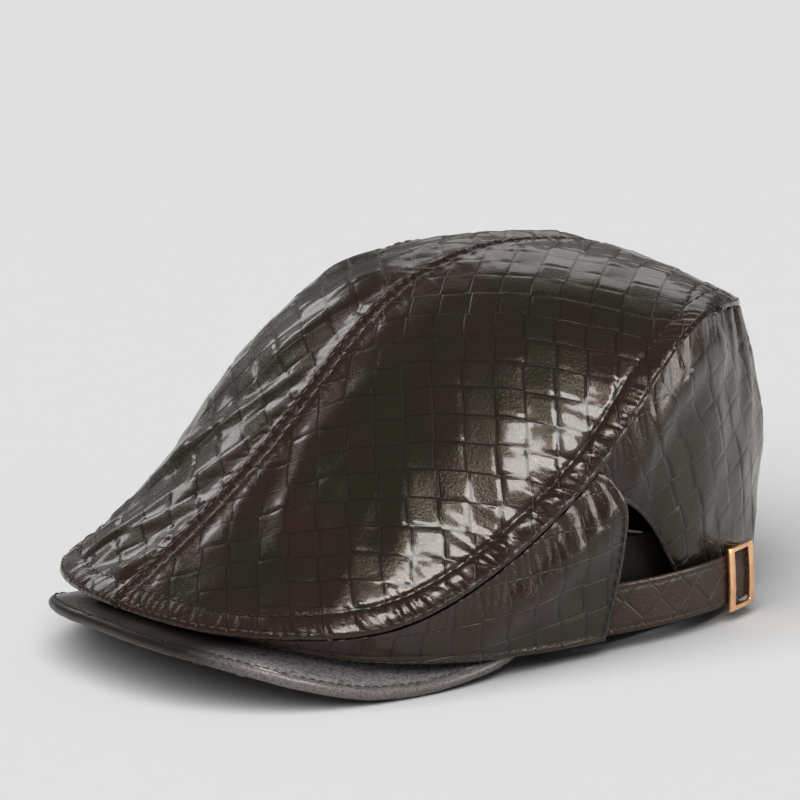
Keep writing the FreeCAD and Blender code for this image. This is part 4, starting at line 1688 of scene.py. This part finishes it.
@dataclass
class Fastening:
    """The strap of one side, the buckle that it slides through and the loop that holds the buckle."""

    finishes: Finishes
    side: Side
    radius: float = 115 * MM
    axis: tuple[float, float] = (-25 * MM, 40 * MM)
    front: float = math.radians(-17.5)
    tail: float = math.radians(25.2)
    buckle_turn: float = math.radians(19.4)
    low: float = 6 * MM
    width: float = 18 * MM
    thick: float = 1.6 * MM
    half_buckle: float = 8 * MM
    bar: float = 3.2 * MM
    rail: float = 2.0 * MM
    plate: float = 1.5 * MM
    play: float = 0.6 * MM
    bar_setback: tuple[float, float] = (0.8 * MM, 0.2 * MM)
    squares_turn: tuple[float, float] = (45.0, 45.0)

    def bar_back(self) -> float:
        """How far from the axis the centre bar's inner face is."""
        loose, more = self.bar_setback
        return self.radius - self.thick - self.play - loose - more - self.plate

    def build(self) -> None:
        """Make the strap, the buckle and the loop."""
        self._strap()
        self._buckle()
        self._keeper()

    def around(self, turn: np.ndarray, radius: np.ndarray, z: np.ndarray) -> np.ndarray:
        """Points about the strap's upright axis, on this side.

        Args:
            turn: angles in radians.
            radius: distances from the axis.
            z: heights.

        Returns:
            Rows by columns by three.
        """
        x = self.axis[0] + radius * np.cos(turn)
        y = self.axis[1] + radius * np.sin(turn)
        return np.stack(np.broadcast_arrays(x * self.side.value, y, z), axis=-1)

    def _strap(self) -> None:
        """Two layers of leather with turned edges and a row of stitches along each."""
        turns = np.linspace(self.front, self.tail, 120)[:, None]
        s = np.linspace(-1, 1, 34)[None, :]
        to_tail = (self.tail - turns) * self.radius
        round_end = 4 * MM
        narrow = np.where(to_tail < round_end, np.sqrt(np.clip(1 - (1 - to_tail / round_end) ** 2, 0, 1)), 1)
        half = self.width / 2 - 2.2 * MM * (1 - narrow)
        z = self.low + self.width / 2 + s * half
        edge = (1 - np.abs(s)) * self.width / 2
        profile = -0.45 * MM * np.clip(1 - edge / (1.2 * MM), 0, 1) ** 2
        profile = profile - 0.16 * MM * np.exp(-((edge - 2.1 * MM) / (0.55 * MM)) ** 2)
        belly = 0.3 * MM * np.exp(-((turns - self.buckle_turn) * self.radius / (4 * MM)) ** 2)
        radius = self.radius + profile + belly * (1 - s ** 2)
        surface = Surface(self.around(turns, radius, z), np.array([self.side.value, 0.3, 0.0]))
        flat = np.stack([surface.run(1), surface.run(0)], axis=-1)
        squares = embossed(flat, self.squares_turn, (0.1, 0.4))
        surface = surface.raised(cushioned(squares, 0.07 * MM, 0.05 * MM) * smooth_step(edge, MM, 3 * MM))
        seam = np.zeros_like(squares) + 5.0
        word = self.side.word
        piece = sheet_piece(f"strap_{word}_leather", surface, self.thick - 0.1 * MM,
                            {"squares": squares, "seam": seam}, self.finishes.strap, 0.35 * MM)
        settle(piece, [f"strap_{word}"], body=f"strap_{word}")
        rows = [surface.points[2:-4, 4], surface.points[2:-4, -5]]
        stitches = Thread(2.3 * MM, 1.1 * MM, 0.3 * MM).lay(f"strap_{word}_stitches", rows, [piece],
                                                            self.finishes.dark_thread, lift=0.02 * MM)
        settle(stitches, body=f"strap_{word}")

    def _plate(self, bm: bmesh.types.BMesh, xs: Sequence[float], ys: Sequence[float],
               open_cells: Sequence[tuple[int, int]], thickness: float, stand: Matrix) -> None:
        """Add a flat plate with square openings, its edges rounded.

        Args:
            bm: the mesh that it is added to.
            xs: the plate's lines across, lowest first.
            ys: the plate's lines up, lowest first.
            open_cells: which cells between the lines are open.
            thickness: how thick it is.
            stand: where it goes.
        """
        part = bmesh.new()
        bmesh.ops.create_grid(part, x_segments=len(xs) - 1, y_segments=len(ys) - 1, size=1)
        for vertex in part.verts:
            i = round((vertex.co.x + 1) / 2 * (len(xs) - 1))
            j = round((vertex.co.y + 1) / 2 * (len(ys) - 1))
            vertex.co = Vector((xs[i], ys[j], 0))
        openings = [face for face in part.faces for i, j in open_cells
                    if xs[i] < face.calc_center_median().x < xs[i + 1]
                    and ys[j] < face.calc_center_median().y < ys[j + 1]]
        bmesh.ops.delete(part, geom=openings, context="FACES")
        grown = bmesh.ops.extrude_face_region(part, geom=part.faces[:])
        moved = [item for item in grown["geom"] if isinstance(item, bmesh.types.BMVert)]
        bmesh.ops.translate(part, verts=moved, vec=(0, 0, thickness))
        bmesh.ops.recalc_face_normals(part, faces=part.faces)
        sharp = [edge for edge in part.edges if len(edge.link_faces) == 2 and edge.calc_face_angle() > 0.5]
        bmesh.ops.bevel(part, geom=sharp, offset=0.42 * MM, offset_type="OFFSET", segments=3, profile=0.5,
                        affect="EDGES", material=-1)
        bmesh.ops.subdivide_edges(part, edges=[e for e in part.edges if e.calc_length() > 4 * MM], cuts=5,
                                  use_grid_fill=True)
        bmesh.ops.transform(part, matrix=stand, verts=part.verts)
        mesh = bpy.data.meshes.new("plate")
        part.to_mesh(mesh)
        part.free()
        bm.from_mesh(mesh)
        bpy.data.meshes.remove(mesh)

    def _buckle(self) -> None:
        """A flat frame outside the strap, with its centre bar set back behind the strap."""
        face = self.radius + self.play
        foot = self.low - self.play - self.rail
        head = self.low + self.width + self.play + self.rail
        back = self.bar_back()
        bm = bmesh.new()
        half, bar = self.half_buckle, self.bar
        frame_stand = Matrix(((0, 0, 1, face), (1, 0, 0, 0), (0, 1, 0, 0), (0, 0, 0, 1)))
        self._plate(bm, (-half, -half + bar, half - bar, half),
                    (foot, foot + self.rail, head - self.rail, head), [(1, 1)], self.plate, frame_stand)
        side_stand = Matrix(((1, 0, 0, 0), (0, 0, -1, bar / 2), (0, 1, 0, 0), (0, 0, 0, 1)))
        inset = 0.12 * MM
        self._plate(bm, (back, back + self.plate, face + self.plate / 2),
                    (foot + inset, foot + self.rail - inset, head - self.rail + inset, head - inset),
                    [(1, 1)], bar, side_stand)
        middle = (foot + head) / 2
        for vertex in bm.verts:
            r, t, z = vertex.co
            bow = 0.5 * MM * ((z - middle) / (head - middle)) ** 2
            vertex.co.x = r - bow - t * t / (2 * self.radius)
        turn = Matrix.Rotation(self.buckle_turn, 4, "Z")
        move = Matrix.Translation((self.axis[0], self.axis[1], 0))
        bmesh.ops.transform(bm, matrix=move @ turn, verts=bm.verts)
        if self.side is Side.RIGHT:
            bmesh.ops.scale(bm, vec=(-1, 1, 1), verts=bm.verts)
        bmesh.ops.recalc_face_normals(bm, faces=bm.faces)
        mesh = bpy.data.meshes.new("buckle")
        bm.to_mesh(mesh)
        bm.free()
        mesh.shade_smooth()
        word = self.side.word
        piece = link(f"buckle_{word}_frame", mesh)
        piece.data.materials.append(self.finishes.metal)
        settle(piece, [f"buckle_{word}"])

    def _keeper(self) -> None:
        """A folded leather loop round the centre bar, sewn to the back."""
        back = self.bar_back()
        bar = self.bar / 2
        path = np.array([(back - 0.9 * MM, 8.4 * MM, 0), (back - 0.65 * MM, 4 * MM, 0),
                         (back - 0.65 * MM, -bar, 0), (back + 0.1 * MM, -bar - 0.75 * MM, 0),
                         (back + self.plate - 0.1 * MM, -bar - 0.75 * MM, 0),
                         (back + self.plate + 0.6 * MM, -bar, 0), (back + self.plate + 0.6 * MM, 4 * MM, 0),
                         (back + 0.6 * MM, 8.2 * MM, 0)])
        line = SmoothLine(path).at(np.linspace(0, 1, 70))
        z = self.low + self.width / 2 + np.linspace(-1, 1, 16) * 6 * MM
        away, along = line[:, 0][:, None], line[:, 1][:, None]
        turn = self.buckle_turn + along / self.radius
        surface = Surface(self.around(turn, away, z[None, :]), np.array([self.side.value, 0.3, 0.0]))
        surface.outwards = surface.points[35, 8] - (surface.points[0, 8] + surface.points[-1, 8]) / 2
        flat = np.stack([surface.run(1), surface.run(0)], axis=-1)
        piece = sheet_piece(f"buckle_{self.side.word}_loop", surface, 0.6 * MM, {"cloth": flat},
                            self.finishes.binding, 0.15 * MM)
        settle(piece, [f"buckle_keeper_{self.side.word}"])


# --- Stage ---


@dataclass(frozen=True)
class SoftBox:
    """One studio soft box, aimed at the cap, that shows only in its polish."""

    name: str
    place: tuple[float, float, float]
    size: tuple[float, float]
    power: float
    aim: tuple[float, float, float] = (0.0, 0.0, 0.06)

    def light(self) -> None:
        """Hang the light."""
        lamp = bpy.data.lights.new(self.name, "AREA")
        lamp.shape = "RECTANGLE"
        lamp.size, lamp.size_y = self.size
        lamp.energy = self.power
        holder = bpy.data.objects.new(self.name, lamp)
        holder.location = self.place
        way = Vector(self.aim) - Vector(self.place)
        holder.rotation_euler = way.to_track_quat("-Z", "Y").to_euler()
        holder.visible_diffuse = False
        bpy.context.scene.collection.objects.link(holder)


@dataclass(frozen=True)
class Skylight:
    """Very soft overhead light that shows no reflection."""

    way: tuple[float, float, float] = (0.22, -0.42, 0.86)
    strength: float = 2.90
    spread: float = math.radians(75)

    def light(self) -> None:
        """Hang the light."""
        lamp = bpy.data.lights.new("skylight", "SUN")
        lamp.energy = self.strength
        lamp.angle = self.spread
        holder = bpy.data.objects.new("skylight", lamp)
        holder.rotation_euler = (-Vector(self.way)).to_track_quat("-Z", "Y").to_euler()
        holder.visible_glossy = False
        bpy.context.scene.collection.objects.link(holder)


class Studio:
    """Pale floor, soft light and the camera."""

    boxes = (
        SoftBox("high_front_box", (0.92, -0.22, 1.20), (0.52, 0.52), 20.0),
        SoftBox("right_box", (1.17, 0.87, 0.26), (0.8, 0.5), 12.0),
        SoftBox("back_box", (-1.03, 0.93, 0.80), (0.8, 0.5), 1.6),
        SoftBox("left_box", (-1.36, 0.05, 0.69), (0.45, 0.25), 1.4),
    )
    camera_place = (1.408, -1.010, 0.496)
    target = (-0.0161, 0.0057, 0.0737)
    roll = math.radians(-2.2)
    focal_length = 226.8

    def build(self) -> None:
        """Set the whole stage."""
        self._floor()
        self._world()
        Skylight().light()
        for box in self.boxes:
            box.light()
        self._camera()
        bpy.context.scene.view_settings.view_transform = "Standard"

    def _floor(self) -> None:
        """A large pale matt floor just under the cap."""
        bm = bmesh.new()
        bmesh.ops.create_grid(bm, x_segments=2, y_segments=2, size=9)
        bmesh.ops.translate(bm, verts=bm.verts, vec=(0, 0, CAD_BOX[0].z - 0.3 * MM))
        mesh = bpy.data.meshes.new("studio_floor")
        bm.to_mesh(mesh)
        bm.free()
        floor = link("studio_floor", mesh)
        paint = Paint("floor_paper")
        fibre = paint.noise(paint.place(), 60.0, 2.0)
        floor.data.materials.append(paint.finish({
            "Base Color": paint.mix(fibre, (0.80, 0.80, 0.80), (0.81, 0.81, 0.81)),
            "Roughness": 0.9, "Specular IOR Level": 0.1}))

    def _world(self) -> None:
        """Soft pale surroundings."""
        world = bpy.data.worlds.new("studio")
        world.use_nodes = True
        world.node_tree.nodes["Background"].inputs["Color"].default_value = (1.0, 0.99, 0.98, 1)
        world.node_tree.nodes["Background"].inputs["Strength"].default_value = 0.13
        bpy.context.scene.world = world

    def _camera(self) -> None:
        """The camera, tipped slightly to the right."""
        lens = bpy.data.cameras.new("camera")
        lens.lens = self.focal_length
        lens.sensor_width = 36
        lens.clip_end = 50
        camera = bpy.data.objects.new("camera", lens)
        camera.location = self.camera_place
        way = Vector(self.target) - Vector(self.camera_place)
        camera.rotation_mode = "QUATERNION"
        camera.rotation_quaternion = way.to_track_quat("-Z", "Y") @ Matrix.Rotation(
            self.roll, 4, "Z").to_quaternion()
        bpy.context.scene.collection.objects.link(camera)
        bpy.context.scene.camera = camera


def main() -> None:
    """Build the cap and its stage."""
    logging.basicConfig(level=logging.INFO, format="%(message)s")
    Studio().build()
    finishes = Finishes()
    Crown(finishes).build()
    for side in Side:
        SidePanel(finishes, side).build()
    BackPanel(finishes).build()
    Bill(finishes).build()
    Headband(finishes).build()
    for side in Side:
        Fastening(finishes, side).build()


if __name__ == "__main__":
    main()
